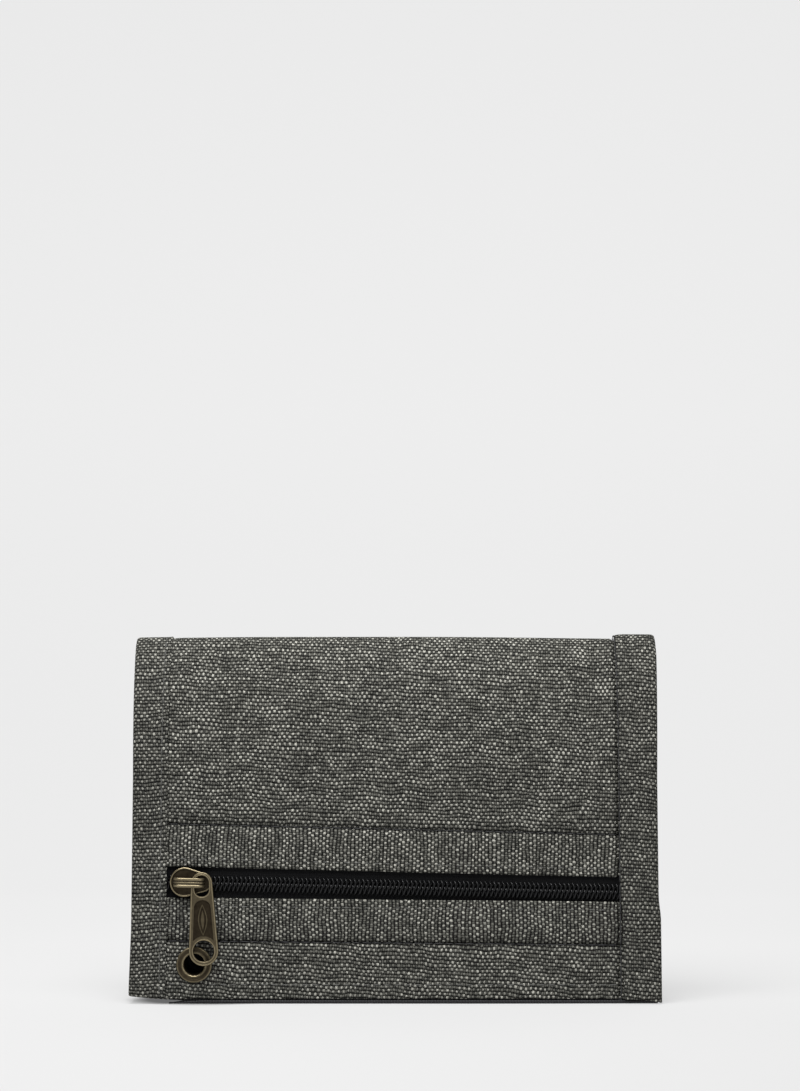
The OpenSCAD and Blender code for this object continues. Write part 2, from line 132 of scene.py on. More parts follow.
# %% [markdown]
# ## Stage, camera and light
# The stage is one pale sheet that curves up behind the wallet, so no horizon shows. The camera
# stands half a metre away, level with the wallet, and is tipped up, which leaves the wallet low
# in the frame. A bright even surround gives the soft shadow along the bottom edge. One corner of
# the wallet curls up a little, and the stage's own material is shaded softly below it.

# %% Stage
FLOOR_BACK = 420.0
CURVE_R = 260.0
stage_profile = [(-5000.0, 0.0), (FLOOR_BACK, 0.0)]
for step in range(1, 25):
    turn = math.pi / 2 * step / 24
    stage_profile.append((FLOOR_BACK + CURVE_R * math.sin(turn), CURVE_R * (1 - math.cos(turn))))
stage_profile.append((FLOOR_BACK + CURVE_R, 1500.0))


def mesh_object(name, points, faces, material=None):
    """A new object at the origin from points in millimetres."""
    mesh = bpy.data.meshes.new(name)
    mesh.from_pydata([tuple(c * MM for c in p) for p in points], [], faces)
    mesh.update()
    made = bpy.data.objects.new(name, mesh)
    bpy.context.scene.collection.objects.link(made)
    if material:
        mesh.materials.append(material)
    return made


def smooth(made):
    """Shades all faces of a piece smoothly."""
    for face in made.data.polygons:
        face.use_smooth = True


stage_points = [(x, y, z) for y, z in stage_profile for x in (-4000.0, 4000.0)]
stage_faces = [(2 * i, 2 * i + 1, 2 * i + 3, 2 * i + 2) for i in range(len(stage_profile) - 1)]
stage = mesh_object("stage", stage_points, stage_faces)
smooth(stage)
stage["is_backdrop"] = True
print("stage:", len(stage_faces), "strips")

# %% Camera
VIEW_DISTANCE = 500.0
VIEW_ELEVATION = math.radians(2.0)
TIP_UP = math.radians(7.66)
TURN_RIGHT = math.radians(0.14)
camera_data = bpy.data.cameras.new("camera")
camera_data.sensor_width = 36
camera_data.lens = 66.75
camera_data.clip_start = 0.01
camera = bpy.data.objects.new("camera", camera_data)
bpy.context.scene.collection.objects.link(camera)
face_y = Y_MID - HALF_T
camera.location = (
    0,
    (face_y - VIEW_DISTANCE * math.cos(VIEW_ELEVATION)) * MM,
    (HEIGHT / 2 + VIEW_DISTANCE * math.sin(VIEW_ELEVATION)) * MM,
)
camera.rotation_euler = (math.pi / 2 - VIEW_ELEVATION + TIP_UP, 0, -TURN_RIGHT)
bpy.context.scene.camera = camera
bpy.context.scene.view_settings.view_transform = "Standard"

# %% Light
SURROUND_STRENGTH = 0.27
world = bpy.data.worlds.new("surround")
bpy.context.scene.world = world
world.use_nodes = True
world.node_tree.nodes["Background"].inputs["Color"].default_value = (1.0, 1.0, 1.0, 1)
world.node_tree.nodes["Background"].inputs["Strength"].default_value = SURROUND_STRENGTH


def area_light(name, place, aim, size, power):
    """A square soft light at place, in millimetres, that faces aim."""
    data = bpy.data.lights.new(name, "AREA")
    data.size = size * MM
    data.energy = power
    made = bpy.data.objects.new(name, data)
    made.location = Vector(place) * MM
    made.rotation_euler = (Vector(aim) - Vector(place)).to_track_quat("-Z", "Y").to_euler()
    bpy.context.scene.collection.objects.link(made)
    return made


area_light("top_light", (-60, -215, 400), (0, 0, 50), 300, 3.15)
area_light("side_light", (600, -500, 350), (0, 0, 40), 300, 1.0)
print("camera and two soft lights are set")

# %% [markdown]
# ## Writing shader maths
# A woven cloth is a pattern of rounded squares, so its material is mostly arithmetic. The class
# below wraps one output of a node, and each Python operator on it adds the Math node it stands
# for. Colours are mixed with Mix nodes, because a Math node would turn them grey.

# %% Shader helper


class Value:
    """One output of a shader node, with Python's operators."""

    def __init__(self, tree, socket):
        self.tree = tree
        self.socket = socket

    def maths(self, operation, *others):
        """A Math node on this value and others."""
        made = self.tree.nodes.new("ShaderNodeMath")
        made.operation = operation
        for slot_in, value in zip(made.inputs, (self,) + others):
            feed(self.tree, slot_in, value)
        return Value(self.tree, made.outputs[0])

    def __add__(self, other):
        return self.maths("ADD", other)

    def __sub__(self, other):
        return self.maths("SUBTRACT", other)

    def __mul__(self, other):
        return self.maths("MULTIPLY", other)

    def __truediv__(self, other):
        return self.maths("DIVIDE", other)

    def __mod__(self, other):
        return self.maths("FLOORED_MODULO", other)

    def __rsub__(self, other):
        return (self * -1) + other

    __radd__ = __add__
    __rmul__ = __mul__

    def clamped(self):
        """This value kept between 0 and 1."""
        return self.maths("MAXIMUM", 0.0).maths("MINIMUM", 1.0)


def feed(tree, socket, value):
    """Links a Value to a socket, or sets a plain number or colour on it."""
    if isinstance(value, Value):
        tree.links.new(value.socket, socket)
    else:
        socket.default_value = value


def add_node(tree, kind, settings=None, **inputs):
    """A node of any type: its settings first, then the inputs named with _ for a space."""
    made = tree.nodes.new(kind)
    for key, value in (settings or {}).items():
        if key == "stops":
            ramp = made.color_ramp
            while len(ramp.elements) < len(value):
                ramp.elements.new(0.5)
            for element, (place, shade) in zip(ramp.elements, value):
                element.position = place
                element.color = shade
        else:
            setattr(made, key, value)
    for key, value in inputs.items():
        wanted = key.replace("_", " ")
        socket = next(s for s in made.inputs if s.name == wanted and s.enabled)
        feed(tree, socket, value)
    return made


def out(node, name=0):
    """The named output of a node as a Value."""
    if isinstance(name, str):
        socket = next(s for s in node.outputs if s.name == name and s.enabled)
    else:
        socket = node.outputs[name]
    return Value(node.id_data, socket)


def mix_colour(amount, low, high):
    """A colour between low and high by amount."""
    made = amount.tree.nodes.new("ShaderNodeMix")
    made.data_type = "RGBA"
    feed(amount.tree, made.inputs[0], amount)
    feed(amount.tree, made.inputs[6], low)
    feed(amount.tree, made.inputs[7], high)
    return Value(amount.tree, made.outputs[2])


def new_material(name):
    """A material with an empty tree but for its output, and the tree."""
    made = bpy.data.materials.new(name)
    made.use_nodes = True
    made.node_tree.nodes.clear()
    return made, made.node_tree


def finish_material(tree, settings=None, height=None, distance=0.0001, **inputs):
    """Ends a tree in a Principled shader with an optional bump."""
    shader = tree.nodes.new("ShaderNodeBsdfPrincipled")
    for key, value in {**inputs, **(settings or {})}.items():
        feed(tree, shader.inputs[key.replace("_", " ")], value)
    if height is not None:
        bump = add_node(tree, "ShaderNodeBump", Height=height, Distance=distance)
        tree.links.new(bump.outputs[0], shader.inputs["Normal"])
    end = tree.nodes.new("ShaderNodeOutputMaterial")
    tree.links.new(shader.outputs[0], end.inputs[0])
    return shader


def tint(colour, share=1.0):
    """A colour of three numbers, darkened to a share of itself, as a socket takes it."""
    return tuple(part * share for part in colour) + (1.0,)


def grey(level):
    """A grey of one level, as a socket takes it."""
    return tint((level, level, level))


print("shader helper ready")

# %% [markdown]
# ## The grey cloth
# The cloth is a plain weave. Dark warps run one way, and a mottled weft runs over and under them,
# so light dashes alternate like the squares of a chessboard. The weft's grey changes along each
# yarn, which gives the streaks of a melange. Each piece carries a UV map in millimetres that
# follows its own cut, so a band cut across the cloth shows its weave turned by a quarter.

# %% Cloth material
WARP_PITCH = 0.60
WEFT_PITCH = 0.89


def weave(tree, warp_pitch, weft_pitch, wander):
    """A plain weave from the UV map: the map, u, the yarns' numbers, which is on top, and where."""
    uv = out(add_node(tree, "ShaderNodeUVMap", {"uv_map": "weave"}))
    drift = add_node(
        tree, "ShaderNodeTexNoise", {"noise_dimensions": "2D"}, Vector=uv, Scale=0.11, Detail=3.0
    )
    split = add_node(tree, "ShaderNodeSeparateXYZ", Vector=uv)
    shift = add_node(tree, "ShaderNodeSeparateColor", Color=out(drift, "Color"))
    u = out(split, "X") / warp_pitch + (out(shift, "Red") - 0.5) * (wander / warp_pitch)
    v = out(split, "Y") / weft_pitch + (out(shift, "Green") - 0.5) * (wander / weft_pitch)
    column, row = u.maths("FLOOR"), v.maths("FLOOR")
    over = (column + row) % 2.0
    across = u - column - 0.5
    along = v - row - 0.5
    return uv, u, column, row, over, across, along


def bow(place, strength):
    """1 in the middle of a yarn and less at its sides."""
    return (1.0 - place * place * strength).clamped()


def melange_cloth(name, light, dark, warp, streak=1.0):
    """Coarse mottled grey plain weave."""
    material, tree = new_material(name)
    uv, u, column, row, over, across, along = weave(tree, WARP_PITCH, WEFT_PITCH, 1.5)
    cell = add_node(tree, "ShaderNodeCombineXYZ", X=column, Y=row)
    speck_node = add_node(tree, "ShaderNodeTexWhiteNoise", Vector=out(cell))
    speck = out(speck_node, "Value")
    chance = add_node(tree, "ShaderNodeSeparateColor", Color=out(speck_node, "Color"))
    fat, slip = out(chance, "Green"), out(chance, "Blue")
    yarn = add_node(tree, "ShaderNodeCombineXYZ", X=u * 0.10, Y=row * 7.31)

    def noise(place, scale):
        flat = {"noise_dimensions": "2D"}
        return out(add_node(tree, "ShaderNodeTexNoise", flat, Vector=place, Scale=scale, Detail=2.0))

    # The streaks run along each weft yarn, and every dash differs a little from its neighbours.
    tone = ((noise(out(yarn), 1.0) - 0.5) * (3.0 * streak) + 0.42 + (speck - 0.5) * 0.8).clamped()
    patch, fibre = noise(uv, 0.045), noise(uv, 4.0)
    weft_colour = mix_colour(tone, dark, light)
    slid = along + (slip - 0.5) * 0.22
    weft_seen = over * bow(across, 1.1 + fat * 1.8) * bow(slid, 3.4 + fat * 2.2)
    warp_seen = (1.0 - over) * bow(across, 3.0) * bow(along, 3.0 + fat * 2.0)
    warp_colour = mix_colour((speck * speck * 1.6).clamped(), warp, dark)
    colour = mix_colour(over, warp_colour, weft_colour)
    # Between the yarns and at their sides the colour darkens to almost black: painted shade in the gaps
    # of the weave.
    clear_of_painted_shade = (weft_seen * 1.25 + warp_seen + (fibre - 0.5) * 1.3).clamped()
    colour = mix_colour(clear_of_painted_shade * (0.35 + clear_of_painted_shade * 0.65), grey(0.002), colour)
    colour = mix_colour((patch * 0.5 + 0.75).clamped(), grey(0.0), colour)
    finish_material(
        tree,
        {"Specular IOR Level": 0.06},
        height=weft_seen + warp_seen * 0.5,
        distance=0.00028,
        Base_Color=colour,
        Roughness=0.85,
    )
    return material


grey_cloth = melange_cloth("grey_cloth", light=tint((0.38, 0.375, 0.332)), dark=tint((0.115, 0.114, 0.1)),
                           warp=tint((0.053, 0.053, 0.0475)))
hem_cloth = melange_cloth("hem_cloth", light=tint((0.34, 0.336, 0.297)), dark=tint((0.1, 0.099, 0.087)),
                          warp=tint((0.055, 0.055, 0.05)), streak=0.7)
print("cloth materials ready")

# %% [markdown]
# ## The plain materials
# The lining is a fine black weave and the zip's tape a black knit. The coils are glossy nylon.
# The fittings are dark plated brass, worn bright where a hand rubs them: each fitting's mesh
# carries an attribute called wear, which is 1 on those edges.

# %% Lining, tape and nylon


def fine_weave(name, colour, pitch, roughness, bump=0.00006):
    """A fine plain weave in one colour, with painted shade in the low places between its yarns."""
    material, tree = new_material(name)
    *_, over, across, along = weave(tree, pitch, pitch, 0.3)
    under = 1.0 - over
    raised = over * bow(across, 3.2) * bow(along, 2.0) + under * bow(across, 2.0) * bow(along, 3.2)
    # The colour falls to 35 percent where the weave lies low: painted shade between the yarns.
    finish_material(
        tree,
        {"Specular IOR Level": 0.15},
        height=raised,
        distance=bump,
        Base_Color=mix_colour(raised.clamped(), tint(colour, 0.35), tint(colour)),
        Roughness=roughness,
    )
    return material


def smooth_material(name, colour, roughness, bump=0.00002, grain=2500.0, **settings):
    """A plain material with a faint grain."""
    material, tree = new_material(name)
    place = out(add_node(tree, "ShaderNodeTexCoord"), "Object")
    noise = out(add_node(tree, "ShaderNodeTexNoise", Vector=place, Scale=grain, Detail=3.0))
    finish_material(
        tree,
        settings,
        height=noise,
        distance=bump,
        Base_Color=mix_colour(noise, tint(colour, 0.7), tint(colour)),
        Roughness=noise * 0.2 + (roughness - 0.1),
    )
    return material


lining_cloth = fine_weave("lining_cloth", (0.022, 0.022, 0.024), 0.36, 0.55)
binding_cloth = fine_weave("binding_cloth", (0.03, 0.03, 0.032), 0.7, 0.6, 0.00012)
tape_cloth = fine_weave("tape_cloth", (0.0035, 0.0036, 0.0042), 0.45, 0.8, 0.00008)
nylon = smooth_material("nylon", (0.004, 0.004, 0.0045), 0.21, Specular_IOR_Level=0.3)
fastener = smooth_material("fastener", (0.016, 0.016, 0.017), 0.6, 0.0002, 900.0)
thread = smooth_material("thread", (0.08, 0.08, 0.074), 0.75, 0.00004, 5000.0)
# Black thread sews the inside rows; on the outside it also paints the shade in seam grooves.
black_thread_and_groove_shade = smooth_material("black_thread_and_groove_shade", (0.015, 0.015, 0.016), 0.7, 0.00004, 5000.0)

# %% Brass and vinyl


def old_brass_material():
    """Dark plated brass that the attribute wear turns bright."""
    material, tree = new_material("old_brass")
    place = out(add_node(tree, "ShaderNodeTexCoord"), "Object")
    cloud = out(add_node(tree, "ShaderNodeTexNoise", Vector=place, Scale=900.0, Detail=4.0))
    fine = out(add_node(tree, "ShaderNodeTexNoise", Vector=place, Scale=4500.0, Detail=2.0))
    wear = out(add_node(tree, "ShaderNodeAttribute", {"attribute_name": "wear"}), "Fac")
    worn = (wear * 1.1 + (cloud - 0.5) * 0.7 * (wear + 0.25)).clamped()
    finish_material(
        tree,
        height=fine * 0.6 + cloud * 0.4,
        distance=0.00003,
        Base_Color=mix_colour(worn, tint((0.017, 0.0115, 0.0055)), tint((0.235, 0.195, 0.12))),
        Metallic=0.85,
        Roughness=0.46 - worn * 0.12,
    )
    return material


def vinyl_material():
    """Clear soft film with a slow ripple."""
    material, tree = new_material("clear_vinyl")
    place = out(add_node(tree, "ShaderNodeTexCoord"), "Object")
    wave = out(add_node(tree, "ShaderNodeTexNoise", Vector=place, Scale=60.0, Detail=1.0))
    finish_material(
        tree,
        height=wave,
        distance=0.0003,
        Base_Color=tint((0.22, 0.23, 0.24)),
        Roughness=0.1,
        Alpha=0.17,
    )
    return material


GLOW_FROM, GLOW_LONG = -900.0, 1350.0
GLOW = ((0.0, 0.69), (0.333, 0.66), (0.48, 0.545), (0.567, 0.478), (0.61, 0.51), (0.652, 0.543),
        (0.71, 0.595), (0.774, 0.63), (0.9, 0.677), (1.0, 0.69))
SHADE_X, SHADE_LONG, SHADE_DEEP = -47.0, 20.0, HALF_T + 2.5
SHADE_DARK = 0.75


def stage_material():
    """Pale card that glows where the lamps reach it least, so the surround looks even. The glow
    fades in an oval under the corner that curls up."""
    material, tree = new_material("pale_stage")
    place = out(add_node(tree, "ShaderNodeTexCoord"), "Object")
    split = add_node(tree, "ShaderNodeSeparateXYZ", Vector=place)
    x, back = out(split, "X") / MM, out(split, "Y") / MM
    across, inward = (x - SHADE_X) / SHADE_LONG, (back - Y_MID) / SHADE_DEEP
    under = (1.0 - across * across - inward * inward).clamped()
    share = ((back - GLOW_FROM) / GLOW_LONG).clamped()
    stops = {"stops": [(at, grey(level)) for at, level in GLOW]}
    ramp = add_node(tree, "ShaderNodeValToRGB", stops, Fac=share)
    finish_material(
        tree,
        {"Specular IOR Level": 0.0, "Emission Strength": 1.0},
        Emission_Color=mix_colour(1.0 - (under * 2.0).clamped() * SHADE_DARK, grey(0.0), out(ramp)),
        Base_Color=grey(0.2),
        Roughness=0.9,
    )
    return material


old_brass = old_brass_material()
clear_vinyl = vinyl_material()
stage.data.materials.append(stage_material())
print("materials:", [m.name for m in bpy.data.materials])

# %% [markdown]
# ## Laying out cloth
# Every layer of a half follows the same kind of line: straight up from the open edge, then over
# the rounded top to the crest. A Track holds that line as a table of points along its length, so
# a piece of cloth can be laid out by its own measure, as it is cut. A sheet is then a grid on the
# track with a thickness and rounded edges.

# %% Tracks


class Track:
    """A line in the half's own plane: how far out from the middle, and how high."""

    def __init__(self, points):
        self.points = np.array(points, float)
        steps = np.linalg.norm(np.diff(self.points, axis=0), axis=1)
        self.table = np.concatenate([[0.0], np.cumsum(steps)])
        self.length = self.table[-1]

    def at(self, along):
        """How far out and how high the line is at a distance along it."""
        return [np.interp(along, self.table, self.points[:, i]) for i in (0, 1)]

    def along_at_height(self, height):
        """Distance along a rising track at which it reaches a height."""
        return np.interp(height, self.points[:, 1], self.table)


def crest_arc(depth, first, steps=48):
    """The rounded top at a depth, from an angle in degrees up to the crest."""
    angles = np.radians(np.linspace(first, 90.0, steps))
    return [
        ((HALF_T - depth) * math.cos(a), SHOULDER + (RISE - depth) * math.sin(a)) for a in angles
    ]


def layer_track(flat, over=None):
    """Upright at depth flat, then over the top at depth over."""
    over = flat if over is None else over
    meet = math.degrees(math.acos(min(1.0, (HALF_T - flat) / (HALF_T - over))))
    start = SHOULDER + (RISE - over) * math.sin(math.radians(meet))
    upright = [(HALF_T - flat, z) for z in np.linspace(0, start, 40)[:-1]]
    return Track(upright + crest_arc(over, meet))


def inner_track(depth):
    """The inside face of a half: upright, then leaning in to the lining near the crest."""
    lean_from = SHOULDER + 0.66 * RISE
    upright = [(HALF_T - depth, z) for z in np.linspace(0, lean_from, 30)]
    return Track(upright + crest_arc(INNER_CROWN, 70.2, steps=16))


def flat(x, s):
    """No swell at all."""
    return 0 * x


def waves(x, s, size, seed):
    """A slow uneven swell of about size, the same wherever x and s are the same."""
    total = 0.0
    for i in range(5):
        turn = 2.399 * i + seed
        pace = 0.045 + 0.028 * i
        along = x * math.cos(turn) + s * math.sin(turn)
        total = total + np.sin(pace * along + 1.7 * i + seed) / (i + 1.6)
    return size * total


def outer_swell(x, s):
    """How far the outside of a half stands proud of its flat track."""
    crest = np.exp(-(((s - 93.0) / 16.0) ** 2))
    crown = 0.45 * np.cos(np.clip(x / EDGE, -1, 1) * math.pi / 2) * crest
    right = 0.55 * np.clip((x - RIGHT_IN + 1.5) / 3.0, 0, 1) * crest
    left = -0.35 * np.clip((LEFT_IN + 2.0 - x) / 3.0, 0, 1) * crest
    return waves(x, s, 0.13, 0.6) + crown + right + left


def panel_swell(x, s):
    """The outer cloth dips where it goes under the right hem."""
    return outer_swell(x, s) - 0.8 * np.exp(-(((x - RIGHT_IN + 0.35) / 0.5) ** 2))


print("track over the outside:", round(layer_track(0).length, 1), "mm")

# %% Sheets with a thickness
WELD = 0.004


def spaced(first, last, step, soft=(True, True), radius=0.6):
    """Places from first to last about step apart, and closer at a soft end."""
    count = max(2, int(round(abs(last - first) / step)))
    places = list(np.linspace(first, last, count + 1))
    way = 1 if last > first else -1
    extra = [radius * f for f in (0.12, 0.35, 0.7, 1.0)]
    if soft[0]:
        places += [first + way * e for e in extra]
    if soft[1]:
        places += [last - way * e for e in extra]
    return np.array(sorted(places, reverse=way < 0))


def rounding(distance, radius):
    """How far a rounded edge has dropped at a distance from its end."""
    q = np.clip(1 - distance / radius, 0, 0.985)
    return radius * (1 - np.sqrt(1 - q * q))


def slab(name, grid, thickness, uv, material, body, soft=(1, 1, 1, 1), keep=None):
    """Cloth from a grid of points on its outer face. soft names the edges to round: first and
    last row, first and last column. uv holds each point's place on the cloth in millimetres."""
    rows, columns = grid.shape[:2]
    by_row = np.gradient(grid, axis=0)
    by_column = np.gradient(grid, axis=1)
    normals = np.cross(by_column, by_row)
    normals /= np.linalg.norm(normals, axis=2, keepdims=True) + 1e-12
    down = np.cumsum(np.linalg.norm(np.diff(grid, axis=0), axis=2), axis=0)
    down = np.concatenate([np.zeros((1, columns)), down])
    side = np.cumsum(np.linalg.norm(np.diff(grid, axis=1), axis=2), axis=1)
    side = np.concatenate([np.zeros((rows, 1)), side], axis=1)
    ends = (down, down[-1:] - down, side, side[:, -1:] - side)
    drop = np.zeros((rows, columns))
    for wanted, distance in zip(soft, ends):
        if wanted:
            drop = np.maximum(drop, rounding(distance, thickness / 2))
    outer = grid - normals * drop[..., None]
    inner = grid - normals * (thickness - drop)[..., None]
    points = np.concatenate([outer.reshape(-1, 3), inner.reshape(-1, 3)])
    total = rows * columns
    if keep is None:
        keep = np.ones((rows - 1, columns - 1), bool)
    faces, open_edges = [], {}
    for r, c in zip(*np.nonzero(keep)):
        a, b = r * columns + c, r * columns + c + 1
        d, e = a + columns, b + columns
        faces.append((a, b, e, d))
        faces.append((a + total, d + total, e + total, b + total))
        for edge in ((a, b), (b, e), (e, d), (d, a)):
            back = (edge[1], edge[0])
            if back in open_edges:
                del open_edges[back]
            else:
                open_edges[edge] = True
    faces += [(a, a + total, b + total, b) for a, b in open_edges]
    used = sorted({v for face in faces for v in face})
    place = {v: i for i, v in enumerate(used)}
    faces = [tuple(place[v] for v in face) for face in faces]
    made = mesh_object(name, points[used], faces, material)
    flat_uv = np.concatenate([uv.reshape(-1, 2)] * 2)[used]
    layer = made.data.uv_layers.new(name="weave")
    corners = np.empty(len(made.data.loops), int)
    made.data.loops.foreach_get("vertex_index", corners)
    layer.data.foreach_set("uv", flat_uv[corners].ravel())
    finish_piece(made, body)
    return made


def face_outwards(mesh, weld=0.0):
    """Joins points that are closer than weld, in millimetres, and points all faces outwards."""
    work = bmesh.new()
    work.from_mesh(mesh)
    if weld:
        bmesh.ops.remove_doubles(work, verts=work.verts, dist=weld * MM)
    bmesh.ops.recalc_face_normals(work, faces=work.faces)
    work.to_mesh(mesh)
    work.free()


def hand_over(made, body):
    """Parents a piece to its body's empty. A piece given two bodies, between which it would bend, only
    has its transform baked.
    """
    if isinstance(body, tuple):
        low, high, start, end = body
        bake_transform(made)
        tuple(start)
        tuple(end)
    else:
        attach(made, body)


def finish_piece(made, body, angle=55.0):
    """Welds and smooths a piece, with sharp edges past an angle, and hands it over."""
    face_outwards(made.data, WELD)
    smooth(made)
    made.data.set_sharp_from_angle(angle=math.radians(angle))
    hand_over(made, body)
    return made


def fold_blend(half, depth=0.0):
    """The two bodies a layer would bend between as it goes over the top, and two places there."""
    start = (0.0, (Y_MID + half * (HALF_T - depth)) * MM, (78.0 - depth) * MM)
    end = (0.0, Y_MID * MM, (HEIGHT - depth) * MM)
    if half == REAR:
        return ("rear_half", "spine", start, end)
    return ("front_half", "spine", start, end)


def grain_uv(u, v, degrees=0.0):
    """Places on the cloth, turned by the angle at which the piece was cut."""
    c, s = math.cos(math.radians(degrees)), math.sin(math.radians(degrees))
    return np.stack([u * c + v * s + 300.0, v * c - u * s + 300.0], axis=-1)


def corner_lift(x, height):
    """How far the left corner of the open edge curls up off the ground."""
    return 1.5 * np.exp(-(x + EDGE) / 9.0) * np.clip(1 - height / 14.0, 0, 1) ** 2


def skin_grid(half, track, x, s, swell=outer_swell, out_by=0.0):
    """Points of a layer in the row frame for grids of x and distance along the track."""
    away, height = track.at(s)
    ahead = [np.gradient(track.points[:, i], track.table) for i in (0, 1)]
    ty, tz = [np.interp(s, track.table, a) for a in ahead]
    size = np.sqrt(ty * ty + tz * tz) + 1e-9
    rise = swell(x, s) + out_by
    away = away + rise * tz / size
    height = height - rise * ty / size
    return np.stack([x, Y_MID + half * away, height + corner_lift(x, height)], axis=-1)


print("sheet builder ready")

# %% [markdown]
# ## The outer cloth
# The rear cloth is one piece from inside the bottom edge, under it, up the back and over to the
# crest. The front is made of four pieces: an upper piece that meets the rear one at the crest, two
# bands cut across the weave that frame the zip, and a lower piece. A sheet that crosses the fold
# is given both its half and the spine, but it is not bent between them.

# %% Rear cloth
BOTTOM_LIFT = 0.25
TURN_UP = 6.0


def with_turn_up(track_depth, inner_depth, rest):
    """A track that starts inside, goes under the bottom edge and then follows rest upwards."""
    inside = HALF_T - inner_depth
    face = HALF_T - track_depth
    r = 0.8
    points = [(inside, z) for z in np.linspace(TURN_UP, BOTTOM_LIFT + r, 6)]
    points += [(inside + 0.25 * r, BOTTOM_LIFT + 0.25 * r), (inside + r, BOTTOM_LIFT)]
    points += [(y, BOTTOM_LIFT) for y in np.linspace(inside + r, face - r, 6)[1:]]
    points += [(face - 0.25 * r, BOTTOM_LIFT + 0.25 * r)]
    return Track(points + [p for p in rest.points if p[1] > BOTTOM_LIFT + r])


rear_track = with_turn_up(SKIN, REAR_IN - 0.25, layer_track(SKIN))
rear_turn = rear_track.length - layer_track(SKIN).length


def columns(step):
    """Places across the outer cloth, closer together in the groove beside the right hem."""
    groove = RIGHT_IN - 0.35 + np.array([-0.9, -0.55, -0.25, 0.0, 0.25, 0.55])
    return np.unique(np.concatenate([spaced(-INSIDE, RIGHT_IN - 1.5, step), groove,
                                     spaced(RIGHT_IN + 0.6, INSIDE, step)]))


x_places = columns(1.3)
s_places = np.concatenate([spaced(0, rear_turn + 2, 0.5, (True, False)),
                           spaced(rear_turn + 3, rear_track.length, 1.1, (False, False))])
x_grid, s_grid = np.meshgrid(x_places, s_places)


def rear_swell(x, s):
    """The rear cloth's swell, which fades out at the bottom edge."""
    return panel_swell(x, s - rear_turn) * np.clip((s - rear_turn - 1) / 6, 0, 1)


rear_cloth = slab(
    "rear_cloth",
    skin_grid(REAR, rear_track, x_grid, s_grid, rear_swell)[:, ::-1],
    CLOTH_T,
    grain_uv(x_grid, s_grid, 0.6)[:, ::-1],
    grey_cloth,
    fold_blend(REAR),
    soft=(1, 0, 1, 1),
)
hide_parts("rear_panel", "rear_bottom_hem")
print("rear cloth:", len(rear_cloth.data.polygons), "faces")

# %% Front cloth above the zip
front_track = layer_track(SKIN)


def height_rows(track, low, high, x_places, step, soft=(True, True)):
    """Grids of x and distance along a track between two edges given as functions of x."""
    start = track.along_at_height(low(x_places))
    finish = track.length if high is None else track.along_at_height(high(x_places))
    finish = np.broadcast_to(finish, start.shape)
    span = float(np.mean(finish - start))
    share = spaced(0, span, step, soft) / span
    x_grid, t = np.meshgrid(x_places, share)
    return x_grid, start[None, :] * (1 - t) + finish[None, :] * t


def band_top(x):
    """Height of the seam above the upper band."""
    return mouth_top(x) + BAND_H


def band_low(x):
    """Height of the seam below the lower band."""
    return mouth_low(x) - BAND_H


def seam_roll(edge):
    """A swell that dips where cloth turns in to a seam at the height that edge gives."""

    def swell(x, s):
        return panel_swell(x, s) - 0.6 * np.exp(-(((s - edge(x)) / 0.9) ** 2))

    return swell


SEAM_GAP = 0.06
x_grid, s_grid = height_rows(front_track, lambda x: band_top(x) + SEAM_GAP, None, x_places, 1.0,
                             (True, False))
front_upper = slab(
    "front_upper_cloth",
    skin_grid(FRONT, front_track, x_grid, s_grid, seam_roll(band_top)),
    CLOTH_T,
    grain_uv(x_grid, s_grid, -1.9),
    grey_cloth,
    fold_blend(FRONT),
    soft=(1, 0, 1, 1),
)
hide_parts("front_upper_panel")
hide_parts("spine_panel")
print("front upper cloth:", len(front_upper.data.polygons), "faces")

# %% Bands beside the zip


def band_swell(seam, mouth):
    """The band dips at its seam and puffs a little between its two edges."""

    def swell(x, s):
        middle = np.exp(-(((s - (seam(x) + mouth(x)) / 2) / 4.0) ** 2))
        stitch = np.exp(-(((np.abs(s - mouth(x)) - 2.0) / 0.45) ** 2))
        dip = np.exp(-((np.abs(s - seam(x)) / 0.8) ** 2))
        return panel_swell(x, s) + 0.12 * middle - 0.12 * stitch - 0.5 * dip

    return swell


def band(name, low, high, seam, mouth, node, turn):
    """A band cut across the weave, between its seam and the zip's mouth."""
    x_grid, s_grid = height_rows(front_track, low, high, x_places, 0.8)
    made = slab(
        name,
        skin_grid(FRONT, front_track, x_grid, s_grid, band_swell(seam, mouth)),
        BAND_T,
        grain_uv(s_grid, x_grid, turn),
        grey_cloth,
        "front_half",
    )
    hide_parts(node)
    return made


band_upper = band("upper_band", mouth_top, band_top, band_top, mouth_top, "zip_band_upper", 1.3)
band_lower = band("lower_band", band_low, mouth_low, band_low, mouth_low, "zip_band_lower", 0.5)
print("bands:", band_upper.name, band_lower.name)

# %% Front cloth below the zip
EYELET_X, EYELET_Z, EYELET_R, EYELET_RIM = -48.9, 9.5, 2.55, 1.8


def front_bottom(x):
    """Height of the front cloth's bottom edge before its corner curls up."""
    return 1.2 - 0.6 * np.exp(-(x + EDGE) / 16.0) - 0.9 * np.exp((x - EDGE) / 3.5)


def clear_of_eyelet(grid, radius):
    """Which squares of a grid lie further than radius from the eyelet's axis."""
    middle = (grid[:-1, :-1] + grid[1:, 1:]) / 2
    return np.hypot(middle[..., 0] - EYELET_X, middle[..., 2] - EYELET_Z) > radius


x_fine = columns(0.9)
low_track = layer_track(LOW_SKIN)
x_grid, s_grid = height_rows(low_track, front_bottom, lambda x: band_low(x) - SEAM_GAP, x_fine, 0.8)
low_grid = skin_grid(FRONT, low_track, x_grid, s_grid, seam_roll(band_low))
front_lower = slab(
    "front_lower_cloth",
    low_grid,
    CLOTH_T,
    grain_uv(x_grid, s_grid, -3.6),
    grey_cloth,
    "front_half",
    keep=clear_of_eyelet(low_grid, 3.5),
)
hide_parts("front_lower_panel")

